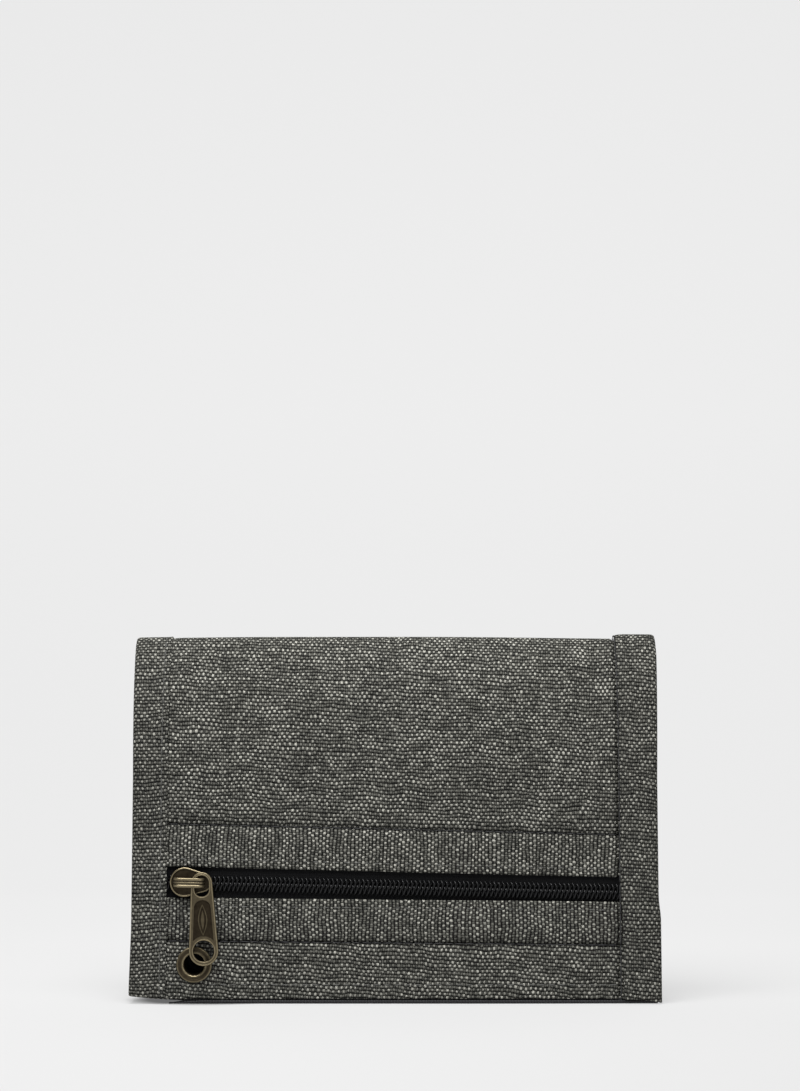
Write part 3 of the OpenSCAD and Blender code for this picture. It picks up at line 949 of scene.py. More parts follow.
turn_y = HALF_T - FRONT_IN
turn_points = [(turn_y, z) for z in np.linspace(TURN_UP, 1.2, 8)]
turn_points += [(turn_y + 0.3, 0.75), (turn_y + 0.9, 0.55)]
turn_points += [(y, 0.5) for y in np.linspace(turn_y + 1.5, HALF_T - LOW_SKIN - CLOTH_T, 10)]
turn_track = Track(turn_points)
x_grid, s_grid = np.meshgrid(x_fine, spaced(0, turn_track.length, 0.6))
turn_grid = skin_grid(FRONT, turn_track, x_grid, s_grid, flat)
turn_gap = np.hypot(turn_grid[:-1, :-1, 0] - EYELET_X, turn_grid[:-1, :-1, 2] - EYELET_Z)
bottom_turn = slab(
    "front_bottom_turn",
    turn_grid,
    0.5,
    grain_uv(x_grid, s_grid, -3.6),
    grey_cloth,
    "front_half",
    keep=turn_gap > 5.0,
)
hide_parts("front_bottom_hem")
print("front lower cloth:", len(front_lower.data.polygons), "faces")

# %% [markdown]
# ## The hems
# Each side of a half is bound by a wide strip of the same cloth, folded round its edge like a
# letter U. The strip is laid out as a grid between two tracks, the outer face and the inner face,
# with a small round corner at each. On the left one strip holds the whole half. On the right the
# cloth and the lining are bound apart, so banknotes can go in between them.

# %% Hem builder
CORNER_R = 0.9


def u_path(width, gap):
    """Places round a U: how far in from the side edge, and how far from outer to inner face."""
    r = min(CORNER_R, gap / 2)
    arc = [math.radians(a) for a in (15, 35, 55, 75)]
    outer_leg = [(off, 0.0) for off in spaced(width, r, 1.1, (True, False), 0.3)]
    corner = [(r * (1 - math.sin(a)), r * (1 - math.cos(a)) / gap) for a in arc]
    web = [(-0.25 * math.sin(math.pi * m), m) for m in np.linspace(r / gap, 1 - r / gap, 6)]
    far_corner = [(off, 1 - m) for off, m in reversed(corner)]
    inner_leg = [(off, 1.0) for off in spaced(r, width, 1.4, (False, True), 0.3)]
    return np.array(outer_leg + corner + web + far_corner + inner_leg)


def side_shift(side, height, share):
    """Both sides draw in a little below the fold, and the right one flares near its foot."""
    waist = np.clip((85.0 - height) / 30.0, 0, 1)
    if side < 0:
        at_edge = 0.25 + 0.4 * waist * np.clip((height - 4.0) / 14.0, 0, 1)
        return at_edge * share + 0.6 * (1 - share)
    t = np.clip((26.0 - height) / 6.0, 0, 1)
    return 0.5 * t * t * (3 - 2 * t) - 0.6 * waist * share


def hem(name, half, side, outer, inner, gap, nodes, low, turn):
    """A strip folded round the side of a half, from the outer track to the inner one."""
    width = LEFT_W if side < 0 else RIGHT_W
    path = u_path(width, gap)
    if (half == FRONT) == (side < 0):
        path = path[::-1]
    share = spaced(0, outer.length, 1.1, (True, False), 0.3) / outer.length
    off = np.broadcast_to(path[:, 0], (len(share), len(path)))
    mix = np.broadcast_to(path[:, 1], off.shape)
    x = side * (EDGE - off)
    start = outer.along_at_height(low(x))
    s = start * (1 - share[:, None]) + outer.length * share[:, None]
    reach = inner.length * s / outer.length
    face = skin_grid(half, outer, x, s)
    back = skin_grid(half, inner, x, reach, flat)
    grid = face * (1 - mix[..., None]) + back * mix[..., None]
    grid[..., 0] += side_shift(side, grid[..., 2], 1 - off / width)
    steps = np.hypot(np.diff(path[:, 0]), gap * np.diff(path[:, 1]))
    across = np.broadcast_to(np.concatenate([[0], np.cumsum(steps)]), s.shape)
    made = slab(
        name,
        grid,
        HEM_T * 0.85,
        grain_uv(across, s, turn),
        hem_cloth,
        fold_blend(half),
        soft=(1, 0, 1, 1),
    )
    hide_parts(*nodes)
    return made


def level(height):
    """A lower edge at one height."""
    return lambda x: height + 0 * x


LEFT_W, RIGHT_W = EDGE + LEFT_IN, EDGE - RIGHT_IN
OUTER_HEM, LINING_HEM = 2.0, 3.0
skin_track = layer_track(0.0)
hem("rear_left_hem", REAR, -1, skin_track, inner_track(REAR_IN), REAR_IN,
    ("rear_hem_left",), level(0.2), 2.0)
hem("front_left_hem", FRONT, -1, skin_track, inner_track(FRONT_IN), FRONT_IN,
    ("front_hem_left", "spine_hem_left"), front_bottom, 2.5)
hem("rear_right_hem", REAR, 1, skin_track, layer_track(OUTER_HEM), OUTER_HEM,
    ("rear_hem_right",), level(0.2), -2.0)
hem("front_right_hem", FRONT, 1, skin_track, layer_track(COIN_HEM, OUTER_HEM), COIN_HEM,
    ("front_hem_right", "spine_hem_right"), front_bottom, -3.8)
hem("rear_lining_right_hem", REAR, 1, layer_track(LINING_HEM), inner_track(REAR_IN), REAR_IN - LINING_HEM,
    ("rear_lining_hem",), level(1.0), -2.0)
hem("front_lining_right_hem", FRONT, 1, layer_track(FLANGE, LINING_HEM), inner_track(FRONT_IN),
    FRONT_IN - FLANGE, ("front_lining_hem", "spine_lining_hem"), level(1.0), -2.0)
print("six hems, left", round(LEFT_W, 1), "mm and right", round(RIGHT_W, 1), "mm wide")

# %% [markdown]
# ## Linings and card pockets
# Inside, everything is thin black lining. Sheets that lie flat get a faint swell, so that light
# doesn't slide over them as over glass. The mouth of each card pocket is bound with a ribbon that
# is folded over its edge.

# %% Linings
LINING_EDGE = 63.6
LINING_LOW = 1.0
BARREL_HOLE = 3.7


def still(x, s):
    """The faint swell of a sheet that lies flat."""
    return waves(x, s, 0.06, 2.1)


def lining(name, half, track, high, nodes, body, hole=0.0):
    """A lining from near the ground up to high, or to the crest where high is None. A hole, for the
    eyelet's barrel, asks for a finer grid."""
    step = 1.0 if hole else 2.2
    x_places = spaced(-LINING_EDGE, LINING_EDGE, step, radius=LINING_T)
    if hole:
        near = np.arange(EYELET_X - 6, EYELET_X + 6, 0.5)
        x_places = np.unique(np.round(np.concatenate([x_places, near]), 3))
    start = track.along_at_height(LINING_LOW)
    finish = track.length if high is None else track.along_at_height(high)
    s_places = spaced(start, finish, step, (True, high is not None), LINING_T)
    x_grid, s_grid = np.meshgrid(x_places, s_places)
    grid, uv = skin_grid(half, track, x_grid, s_grid, still), grain_uv(x_grid, s_grid)
    keep = clear_of_eyelet(grid, hole) if hole else None
    if half == REAR:
        grid, uv = grid[:, ::-1], uv[:, ::-1]
    soft = (1, high is not None, 1, 1)
    made = slab(name, grid, LINING_T, uv, lining_cloth, body, soft=soft, keep=keep)
    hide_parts(*nodes)
    return made


lining("rear_lining_cloth", REAR, layer_track(REAR_LINING), None, ("rear_lining", "spine_lining"),
       fold_blend(REAR, REAR_LINING))
lining("front_lining_cloth", FRONT, layer_track(FRONT_LINING, REAR_LINING), None, ("front_lining",),
       fold_blend(FRONT, REAR_LINING), BARREL_HOLE)
coin_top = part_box("coin_pocket_top")[1][2] / MM
lining("coin_bag_back", FRONT, layer_track(COIN_BACK), coin_top - 0.35, ("coin_lining",),
       "front_half", BARREL_HOLE)
bag_top = Track([(HALF_T - d, coin_top - 0.02 * (d - 1.4)) for d in np.linspace(1.45, 5.15, 8)])
x_grid, s_grid = np.meshgrid(spaced(-LINING_EDGE, LINING_EDGE, 3.0), spaced(0, bag_top.length, 0.9))
bag_top_sheet = slab("coin_bag_top", skin_grid(FRONT, bag_top, x_grid, s_grid, still), LINING_T,
                     grain_uv(x_grid, s_grid), lining_cloth, "front_half")
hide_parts("coin_pocket_top")

# The piping is a black tape round the lining's lower edge. It stays on the ground, and towards the corner
# that curls up it thins into a flat black wedge on the ground, which is a painted shadow under the lifted
# cloth.
PIPING_T = 0.25
PIPING_Z = 0.15
piping = Track([(HALF_T - 1.75, 1.6), (HALF_T - 1.75, 0.6), (HALF_T - 1.6, 0.2), (HALF_T - 1.25, 0.06),
                (HALF_T - 0.95, 0.2), (HALF_T - 0.85, 0.5), (HALF_T - 0.9, 0.9)])
x_grid, s_grid = np.meshgrid(spaced(-55, 64.0, 1.5), np.linspace(0, piping.length, 14))
piping_grid = skin_grid(FRONT, piping, x_grid, s_grid, lambda x, s: waves(x, 0 * s, 0.05, 1.0))
# Towards the left end the piping flattens onto the ground: a black wedge painted as the corner's shadow.
shadow_wedge_share = np.clip((x_grid + 57) / 11, 0.05, 1)
piping_grid[..., 2] -= corner_lift(x_grid, piping_grid[..., 2])
piping_grid[..., 2] = PIPING_Z + (piping_grid[..., 2] - PIPING_Z) * shadow_wedge_share * shadow_wedge_share * (3 - 2 * shadow_wedge_share)
slab("bottom_piping", piping_grid, PIPING_T, grain_uv(x_grid, s_grid), binding_cloth, "front_half")
print("linings laid")

# %% Card pockets and their ribbons
RIBBON_H = 5.0
ID_T = 0.4


def ribbon(name, half, depth, thickness, mouth, node, body):
    """A ribbon folded over the upper edge of a sheet that starts at depth."""
    back = HALF_T - depth + 0.14
    front = HALF_T - depth - thickness - 0.26
    arc = [(back + (front - back) * (1 - math.cos(a)) / 2, mouth + 0.3 * math.sin(a))
           for a in np.radians(np.linspace(0, 180, 9))]
    legs = [(back, z) for z in np.linspace(mouth - RIBBON_H + 0.6, mouth - 0.4, 6)]
    legs_down = [(front, z) for z in np.linspace(mouth - 0.4, mouth - RIBBON_H, 7)]
    track = Track(legs + arc + legs_down)
    x_grid, s_grid = np.meshgrid(spaced(LEFT_IN - 0.5, RIGHT_IN + 0.5, 2.0),
                                 spaced(0, track.length, 0.5, radius=0.2))
    grid = skin_grid(half, track, x_grid, s_grid, lambda x, s: 0.02 * np.sin(x * 0.9))
    uv = grain_uv(s_grid, x_grid)
    if half == REAR:
        grid, uv = grid[:, ::-1], uv[:, ::-1]
    made = slab(name, grid, 0.22, uv, binding_cloth, body)
    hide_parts(node)
    return made


pocket_names = ("high", "mid", "low")
mouth_heights = [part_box("card_pocket_" + n)[1][2] / MM for n in pocket_names]
for label, depth, mouth in zip(pocket_names, POCKET_DEPTHS, mouth_heights):
    lining("pocket_" + label, REAR, layer_track(depth), mouth, ("card_pocket_" + label,), "rear_half")
    ribbon("pocket_ribbon_" + label, REAR, depth, LINING_T, mouth, "card_binding_" + label, "rear_half")
id_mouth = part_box("id_panel")[1][2] / MM
ribbon("id_ribbon", FRONT, ID_CLOTH, ID_T, id_mouth, "id_binding", "front_half")
print("pocket mouths at", [round(m, 1) for m in mouth_heights], "mm")

# %% [markdown]
# ## Plates cut from loops
# The panel with the clear window, the slider's plates and the puller are flat plates with holes
# and raised or sunk parts. Each is drawn as closed loops. Walls join a loop to the next one at
# another height, and Blender fills the flat areas between loops with triangles.

# %% Loop plates


def ring_walls(work, lower, upper):
    """Quads between two loops with the same number of points."""
    n = len(lower)
    for i in range(n):
        work.faces.new((lower[i], lower[(i + 1) % n], upper[(i + 1) % n], upper[i]))


def loop_plate(name, stacks, caps, material, place):
    """A closed plate. stacks are lists of (loop, height) joined by walls, and caps are lists of
    (stack, level) whose loops bound one flat face. place turns (x, z, height) into the row."""
    work = bmesh.new()
    made_loops = []
    for stack in stacks:
        levels = []
        for loop, height in stack:
            levels.append([work.verts.new(Vector(place(px, pz, height)) * MM) for px, pz in loop])
        for lower, upper in zip(levels, levels[1:]):
            ring_walls(work, lower, upper)
        made_loops.append(levels)
    for cap in caps:
        edges = []
        for stack, level in cap:
            loop = made_loops[stack][level]
            for i in range(len(loop)):
                pair = (loop[i], loop[(i + 1) % len(loop)])
                edges.append(work.edges.get(pair) or work.edges.new(pair))
        bmesh.ops.triangle_fill(work, use_beauty=True, use_dissolve=False, edges=edges)
    mesh = bpy.data.meshes.new(name)
    work.to_mesh(mesh)
    work.free()
    made = bpy.data.objects.new(name, mesh)
    bpy.context.scene.collection.objects.link(made)
    mesh.materials.append(material)
    return made


def store_wear(made, values):
    """Stores how worn each point of a brass piece is, from 0 to 1."""
    wear = made.data.attributes.new("wear", "FLOAT", "POINT")
    wear.data.foreach_set("value", values)


def mark_wear(made, wear_at):
    """Stores how worn each point is, from its place in millimetres."""
    store_wear(made, [float(wear_at(v.co / MM)) for v in made.data.vertices])


def round_rect(x0, x1, z0, z1, r, steps=6):
    """A rectangle with round corners."""
    centres = ((x1 - r, z1 - r), (x0 + r, z1 - r), (x0 + r, z0 + r), (x1 - r, z0 + r))
    loop = []
    for (cx, cz), first in zip(centres, (0, 90, 180, 270)):
        for i in range(steps + 1):
            a = math.radians(first + 90 * i / steps)
            loop.append((cx + r * math.cos(a), cz + r * math.sin(a)))
    return loop


def circle_loop(cx, cz, r, steps=40):
    """A circle as a loop of points."""
    angles = [2 * math.pi * i / steps for i in range(steps)]
    return [(cx + r * math.cos(a), cz + r * math.sin(a)) for a in angles]


def front_place(depth_of):
    """Places a plate on the front half: height 0 is at the given depth and counts outwards."""

    def place(px, pz, height):
        return (px, Y_MID - (HALF_T - depth_of + height), pz)

    return place


def flat_uv_map(made):
    """Gives an upright plate the weave's map straight from the front."""
    layer = made.data.uv_layers.new(name="weave")
    for loop in made.data.loops:
        co = made.data.vertices[loop.vertex_index].co / MM
        layer.data[loop.index].uv = (co.x + 300, co.z + 300)


window_box = [[c / MM for c in corner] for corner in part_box("id_window")]
LAP = 7.0
OPENING_R = 3.0
opening = (window_box[0][0] + LAP, window_box[1][0] - LAP, window_box[0][2] + LAP, window_box[1][2] - LAP)


def opening_loop(grow):
    """A loop at a distance outside the window's opening."""
    x0, x1, z0, z1 = opening
    return round_rect(x0 - grow, x1 + grow, z0 - grow, z1 + grow, OPENING_R + grow)


def straight_wall(loop, thickness):
    """A wall that goes straight through a plate."""
    return [(loop, 0.0), (loop, thickness)]


panel_stack = straight_wall(round_rect(-LINING_EDGE, LINING_EDGE, 2.0, id_mouth, 0.4, 2), ID_T)
opening_stack = straight_wall(opening_loop(0.0), ID_T)
bore_stack = straight_wall(circle_loop(EYELET_X, EYELET_Z, 3.0), ID_T)
id_sheet = loop_plate("id_sheet", [panel_stack, opening_stack, bore_stack],
                      [[(0, 0), (1, 0), (2, 0)], [(0, 1), (1, 1), (2, 1)]],
                      lining_cloth, front_place(ID_CLOTH + ID_T))
flat_uv_map(id_sheet)
finish_piece(id_sheet, "front_half", 30)
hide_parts("id_panel")

x_grid, s_grid = np.meshgrid(np.linspace(window_box[0][0], window_box[1][0], 60),
                             np.linspace(window_box[0][2], window_box[1][2], 40))
film_grid = skin_grid(FRONT, layer_track(WINDOW), x_grid, s_grid, lambda x, s: waves(x, s, 0.05, 4.0))
window = slab("window_film", film_grid, 0.2, grain_uv(x_grid, s_grid), clear_vinyl, "front_half",
              soft=(0, 0, 0, 0))
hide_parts("id_window")

TRIM_T = 0.22
trim_stack = [(opening_loop(grow), height)
              for grow, height in ((1.6, 0.0), (1.2, -TRIM_T), (0.5, -TRIM_T), (0.1, 0.0), (1.6, 0.0))]
trim = loop_plate("window_trim", [trim_stack], [], binding_cloth, front_place(ID_CLOTH + ID_T + 0.01))
flat_uv_map(trim)
finish_piece(trim, "front_half", 60)
print("window opening", [round(v, 1) for v in opening])

# %% [markdown]
# ## Copies laid by Geometry Nodes
# A zip's teeth, a seam's stitches and a fastener's hooks are one small shape laid many times.
# A node tree lays copies of a shape on the points of a mesh. Each point carries the way its copy
# runs and the way it faces, and a seeded random value varies its size a little.

# %% The tree that lays copies


def copies_tree():
    """The tree, and the identifier of each of its named inputs."""
    tree = bpy.data.node_groups.new("lay_copies", "GeometryNodeTree")
    face = tree.interface
    face.new_socket("Geometry", in_out="INPUT", socket_type="NodeSocketGeometry")
    sockets = {}
    for label, kind in (("Shape", "Object"), ("Material", "Material"), ("Size", "Vector"),
                        ("Spread", "Float"), ("Lean", "Float"), ("Seed", "Int")):
        socket = face.new_socket(label, in_out="INPUT", socket_type="NodeSocket" + kind)
        sockets[label] = socket.identifier
    face.new_socket("Geometry", in_out="OUTPUT", socket_type="NodeSocketGeometry")
    given = tree.nodes.new("NodeGroupInput")

    def vector_attribute(label):
        kind = {"data_type": "FLOAT_VECTOR"}
        return out(add_node(tree, "GeometryNodeInputNamedAttribute", kind, Name=label), "Attribute")

    shape = add_node(tree, "GeometryNodeObjectInfo", Object=out(given, "Shape"))
    scaled = add_node(tree, "GeometryNodeTransform", Geometry=out(shape, "Geometry"),
                      Scale=out(given, "Size"))
    run = add_node(tree, "FunctionNodeAlignRotationToVector", {"axis": "X"},
                   Vector=vector_attribute("along"))
    face_out = add_node(tree, "FunctionNodeAlignRotationToVector", {"axis": "Z", "pivot_axis": "X"},
                        Rotation=out(run), Vector=vector_attribute("facing"))
    spread, lean = out(given, "Spread"), out(given, "Lean")
    size = add_node(tree, "FunctionNodeRandomValue", {"data_type": "FLOAT"},
                    Min=1.0 - spread, Max=1.0 + spread, Seed=out(given, "Seed"))
    angle = add_node(tree, "FunctionNodeRandomValue", {"data_type": "FLOAT"},
                     Min=lean * -1.0, Max=lean, Seed=out(given, "Seed") + 7.0)
    turn = add_node(tree, "ShaderNodeCombineXYZ", Z=out(angle, "Value"))
    as_turn = add_node(tree, "FunctionNodeEulerToRotation", Euler=out(turn))
    both = add_node(tree, "FunctionNodeRotateRotation", {"rotation_space": "LOCAL"},
                    Rotation=out(face_out), Rotate_By=out(as_turn))
    laid = add_node(tree, "GeometryNodeInstanceOnPoints", Points=out(given, "Geometry"),
                    Instance=out(scaled), Rotation=out(both), Scale=out(size, "Value"))
    real = add_node(tree, "GeometryNodeRealizeInstances", Geometry=out(laid))
    done = add_node(tree, "GeometryNodeSetMaterial", Geometry=out(real),
                    Material=out(given, "Material"))
    end = tree.nodes.new("NodeGroupOutput")
    tree.links.new(done.outputs[0], end.inputs[0])
    return tree, sockets


COPIES, COPY_SOCKETS = copies_tree()


def lay_copies(name, shape, points, along, facing, material, body, size=(1, 1, 1), spread=0.0,
               lean=0.0, seed=1):
    """Copies of shape on points in millimetres, as one new piece."""
    base = mesh_object(name + "_points", points, [])
    for label, values in (("along", along), ("facing", facing)):
        held = base.data.attributes.new(label, "FLOAT_VECTOR", "POINT")
        held.data.foreach_set("vector", np.asarray(values, float).ravel())
    lay = base.modifiers.new("copies", "NODES")
    lay.node_group = COPIES
    chosen = {"Shape": shape, "Material": material, "Size": size, "Spread": spread, "Lean": lean,
              "Seed": seed}
    for label, value in chosen.items():
        lay[COPY_SOCKETS[label]] = value
    bpy.context.view_layer.update()
    solved = base.evaluated_get(bpy.context.evaluated_depsgraph_get())
    mesh = bpy.data.meshes.new_from_object(solved)
    mesh.name = name
    base.modifiers.remove(lay)
    bpy.data.objects.remove(base)
    for label in ("along", "facing"):
        if label in mesh.attributes:
            mesh.attributes.remove(mesh.attributes[label])
    made = bpy.data.objects.new(name, mesh)
    bpy.context.scene.collection.objects.link(made)
    smooth(made)
    hand_over(made, body)
    return made


def pattern_shape(name, points, faces):
    """A small closed shape to copy, kept out of the picture."""
    made = mesh_object(name, points, faces)
    face_outwards(made.data)
    bpy.context.scene.collection.objects.unlink(made)
    return made


def tube_shape(name, path, widths, sides=6):
    """A closed round tube along a path of points."""
    path = np.array(path, float)
    ahead = np.gradient(path, axis=0)
    ahead /= np.linalg.norm(ahead, axis=1, keepdims=True)
    side = np.cross(ahead, (0.13, 0.21, 0.97))
    side /= np.linalg.norm(side, axis=1, keepdims=True)
    up = np.cross(side, ahead)
    points, faces = [], []
    for i, centre in enumerate(path):
        for k in range(sides):
            a = 2 * math.pi * k / sides
            points.append(centre + widths[i] * (side[i] * math.cos(a) + up[i] * math.sin(a)))
    for i in range(len(path) - 1):
        for k in range(sides):
            a, b = i * sides + k, i * sides + (k + 1) % sides
            faces.append((a, b, b + sides, a + sides))
    faces += [tuple(range(sides)), tuple(range(len(points) - sides, len(points)))]
    return pattern_shape(name, points, faces)


print("tree:", len(COPIES.nodes), "nodes")

# %% [markdown]
# ## The zip
# Two tapes lie behind the mouth, and a nylon coil runs along the meeting edge of each. A coil is
# one thread wound into flat loops, and in the closed chain the loops of both coils mesh. One loop
# is drawn as a tube: up the front, round the head at the middle, back behind, and on to the next.

# %% Tapes
tape_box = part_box("zip_tape_upper")
ZIP_HALF = (tape_box[1][0] - tape_box[0][0]) / MM / 2
TAPE_T, TAPE_H = 0.4, 11.5
flat_front = layer_track(TAPE)
for label, side in (("upper", 1), ("lower", -1)):
    x_grid, off = np.meshgrid(spaced(-LINING_EDGE, LINING_EDGE, 2.0),
                              spaced(0.35, TAPE_H - 0.4, 0.6, radius=0.3))
    s_grid = zip_z(x_grid) - COIL_DROP + side * off
    grid = skin_grid(FRONT, flat_front, x_grid, s_grid, lambda x, s: waves(x, s, 0.03, 3.0))
    uv = grain_uv(x_grid, s_grid)
    if side < 0:
        grid, uv = grid[::-1], uv[::-1]
    made = slab("tape_" + label, grid, TAPE_T, uv, tape_cloth, "front_half")
    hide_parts("zip_tape_" + label)
print("tapes are", round(2 * ZIP_HALF, 1), "mm long")

# %% Coils
TOOTH = 1.07
CHAIN_HALF = 2.0
THREAD_R = 0.27


def coil_loop(name, bulge, slant):
    """One turn of a coil. x runs along the zip, y away from its middle line, z out of the front."""
    front = [
        (
            bulge * math.sin(math.pi * t) + slant * (t - 0.5),
            CHAIN_HALF - 0.25 - (CHAIN_HALF - 0.1) * t,
            0.86 - 0.25 * (1 - t) ** 3 - 0.1 * t ** 4,
        )
        for t in np.linspace(0, 1, 6)
    ]
    first, head = front[0], front[-1][0]
    round_head = [(head + 0.06, -0.28, 0.5), (head + 0.16, -0.1, 0.3)]
    behind = [(head + 0.45, 0.8, 0.27), (first[0] + TOOTH - 0.1, CHAIN_HALF - 0.3, 0.3)]
    path = front + round_head + behind + [(first[0] + TOOTH, first[1], first[2])]
    widths = [THREAD_R * w for w in (1, 1, 1, 1, 1, 1.12, 1.15, 0.95, 0.9, 0.95, 1)]
    return tube_shape(name, path, widths)


def coil_side(label, side, bulge, slant, start):
    """One coil, all along the zip."""
    shape = coil_loop("loop_" + label, bulge, slant)
    places = np.arange(-ZIP_HALF + start, ZIP_HALF - TOOTH - 0.3, TOOTH)
    depth = TAPE - 0.05
    points = [(x, Y_MID - (HALF_T - depth), zip_z(x) - COIL_DROP) for x in places]
    run = (math.cos(ZIP_SLOPE), 0, -math.sin(ZIP_SLOPE))
    made = lay_copies("coil_" + label, shape, points, [run] * len(points), [(0, -1, 0)] * len(points),
                      nylon, "front_half", size=(1, side, 1), spread=0.012, lean=0.02, seed=5)
    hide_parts("zip_coil_" + label)
    return made


coils = [coil_side("upper", 1, 0.30, 0.0, 0.5), coil_side("lower", -1, 0.06, 0.62, 1.03)]
for made in coils:
    face_outwards(made.data)
print("coil faces:", [len(c.data.polygons) for c in coils])

# %% [markdown]
# ## The slider
# The slider's top plate is a rounded wedge with a raised rim round a dark recess. A strap bridges
# it from end to end, and under the strap lies the thin spring of the lock. The plate is drawn as
# loops, and the strap as an outline swept along its own bend.

# %% Slider plates
BRASS_WEAR_LOW = 0.05


def taper_loop(r0, r1, reach, grow=0.0, steps=28):
    """Outline round two circles on the X axis, with straight sides that touch both."""
    lean = math.acos((r0 - r1) / reach)
    big = [lean + (2 * math.pi - 2 * lean) * i / steps for i in range(steps + 1)]
    small = [-lean + 2 * lean * i / steps for i in range(steps + 1)]
    r0, r1 = r0 + grow, r1 + grow
    return [(r0 * math.cos(a), r0 * math.sin(a)) for a in big] + \
        [(reach + r1 * math.cos(a), r1 * math.sin(a)) for a in small]


def zip_place(depth_of, x0=0.0, spin=None):
    """Places a plate along the zip from x0, or turned by spin about the zip's line at x0."""

    def place(px, pz, height):
        if spin is None:
            c, s = math.cos(ZIP_SLOPE), -math.sin(ZIP_SLOPE)
            x, z = (x0 + px) * c - pz * s, (x0 + px) * s + pz * c
        else:
            c, s = math.cos(spin), math.sin(spin)
            x, z = x0 + px * c - pz * s, px * s + pz * c - x0 * math.sin(ZIP_SLOPE)
        return (x, Y_MID - (HALF_T - depth_of + height), ZIP_Z + z)

    return place


def wear_from(made, bright, dark=BRASS_WEAR_LOW):
    """Marks the points that bright accepts as worn."""
    mark_wear(made, lambda co: 1.0 if bright(co) else dark)


SLIDER_X, SLIDER_LEN, SLIDER_R, TAIL_R = -55.0, 10.3, 3.6, 2.4
slider_reach = SLIDER_LEN - SLIDER_R - TAIL_R


def wedge(grow):
    """The slider's outline, grown or shrunk."""
    return taper_loop(SLIDER_R, TAIL_R, slider_reach, grow)


def stacked(loop, steps):
    """Loops for a wall, from steps of (how far grown, at what height)."""
    return [(loop(grow), height) for grow, height in steps]


def slider_plate(name, depth, rim):
    """One of the slider's two plates, with round edges, and a sunken middle if it has a rim."""
    top = 0.8
    steps = [(-0.15, 0.0), (0.0, 0.15), (0.0, top - 0.2), (-0.1, top - 0.05), (-0.2, top)]
    if rim:
        steps += [(-0.34, top), (-0.46, top - 0.12), (-0.58, top - 0.3)]
    stack = stacked(wedge, steps)
    last = len(stack) - 1
    return loop_plate(name, [stack], [[(0, 0)], [(0, last)]], old_brass,
                      zip_place(depth, SLIDER_X + SLIDER_R))


slider_top = slider_plate("slider_top", 0.45, True)
plate_face = Y_MID - (HALF_T + 0.35)
wear_from(slider_top, lambda co: co.y < plate_face + 0.1)
finish_piece(slider_top, "zip_slider", 40)
slider_back = slider_plate("slider_back", 3.15, False)
wear_from(slider_back, lambda co: False, 0.3)
finish_piece(slider_back, "zip_slider", 40)
wedge_piece = loop_plate("slider_wedge", [straight_wall(round_rect(1.0, 3.4, -0.2, 0.2, 0.15, 3), 2.1)],
                         [[(0, 0)], [(0, 1)]], old_brass, zip_place(2.45, SLIDER_X))
wear_from(wedge_piece, lambda co: False, 0.3)
finish_piece(wedge_piece, "zip_slider", 40)
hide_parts("slider_body")
print("slider is", SLIDER_LEN, "mm long")

# %% Bridge and lock spring
BRIDGE_X, BRIDGE_LEN, BRIDGE_W = -54.0, 7.5, 2.3


def strap(name, path, profile, wear_level):
    """An outline of (across, out) points swept along a path of (along the zip, height out)."""
    path = np.array(path, float)
    ahead = np.gradient(path, axis=0)
    ahead /= np.linalg.norm(ahead, axis=1, keepdims=True)
    lift = np.stack([-ahead[:, 1], ahead[:, 0]], axis=1)
    points, faces, wear = [], [], []
    n = len(profile)
    place = zip_place(0.0)
    for (px, h), (nx, nh) in zip(path, lift):
        for across, rise, worn in profile:
            points.append(place(px + nx * rise, across, h + nh * rise))
            wear.append(worn * wear_level)
    for i in range(len(path) - 1):
        for k in range(n):
            a, b = i * n + k, i * n + (k + 1) % n
            faces.append((a, b, b + n, a + n))
    faces += [tuple(range(n)), tuple(range(len(points) - n, len(points)))]
    made = mesh_object(name, points, faces, old_brass)
    store_wear(made, wear)
    finish_piece(made, "zip_slider", 35)
    return made


def bridge_path():
    """Up from the plate, round a bend, along the slider and down again."""
    base, under, r = 0.3, 2.0, 0.7
    x0, x1 = BRIDGE_X + 0.8, BRIDGE_X + BRIDGE_LEN - 0.8
    turn = np.radians(np.linspace(0, 90, 7))
    up = [(x0, h) for h in np.linspace(base, under - r, 4)]
    bend = [(x0 + r * (1 - math.cos(a)), under - r + r * math.sin(a)) for a in turn[1:]]
    along = [(x, under) for x in np.linspace(x0 + r, x1 - r, 14)[1:-1]]
    bend_down = [(x0 + x1 - x, h) for x, h in reversed(bend)]
    down = [(x1, h) for _, h in reversed(up)]
    return up + bend + along + bend_down + down


# The strap's outline is the same on both sides of its middle: two grooves lie beside a low ridge.
half_w = BRIDGE_W / 2
left_side = [(half_w - 0.1, 0.0, 0), (half_w, 0.15, 0.5), (half_w, 0.6, 1), (half_w - 0.18, 0.78, 1),
             (0.62, 0.8, 1), (0.46, 0.68, 0.1), (0.22, 0.68, 0.1), (0.12, 0.78, 0.8)]
bridge_profile = [(-across, rise, worn) for across, rise, worn in left_side] + left_side[::-1]
bridge = strap("slider_bridge_strap", bridge_path(), bridge_profile, 0.9)
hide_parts("slider_bridge")
spring_x = np.linspace(BRIDGE_X + 1.3, BRIDGE_X + BRIDGE_LEN - 1.3, 12)
spring_path = [(x, 1.76 + 0.04 * math.sin(math.pi * i / 11)) for i, x in enumerate(spring_x)]
spring = strap("lock_spring_leaf", spring_path,
               [(-0.5, 0, 0.3), (-0.5, 0.2, 0.6), (0.5, 0.2, 0.6), (0.5, 0, 0.3)], 1.0)
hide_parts("lock_spring")
print("bridge and spring set")

# %% [markdown]
# ## The puller
# The puller is cast in one piece: a tapered tongue with a long eye at the top, a round hole at
# the foot and a raised rim all round. Rings stand round both holes, and a plain pointed oval is
# raised in the sunken middle. It hangs by its eye from the bridge's right leg.

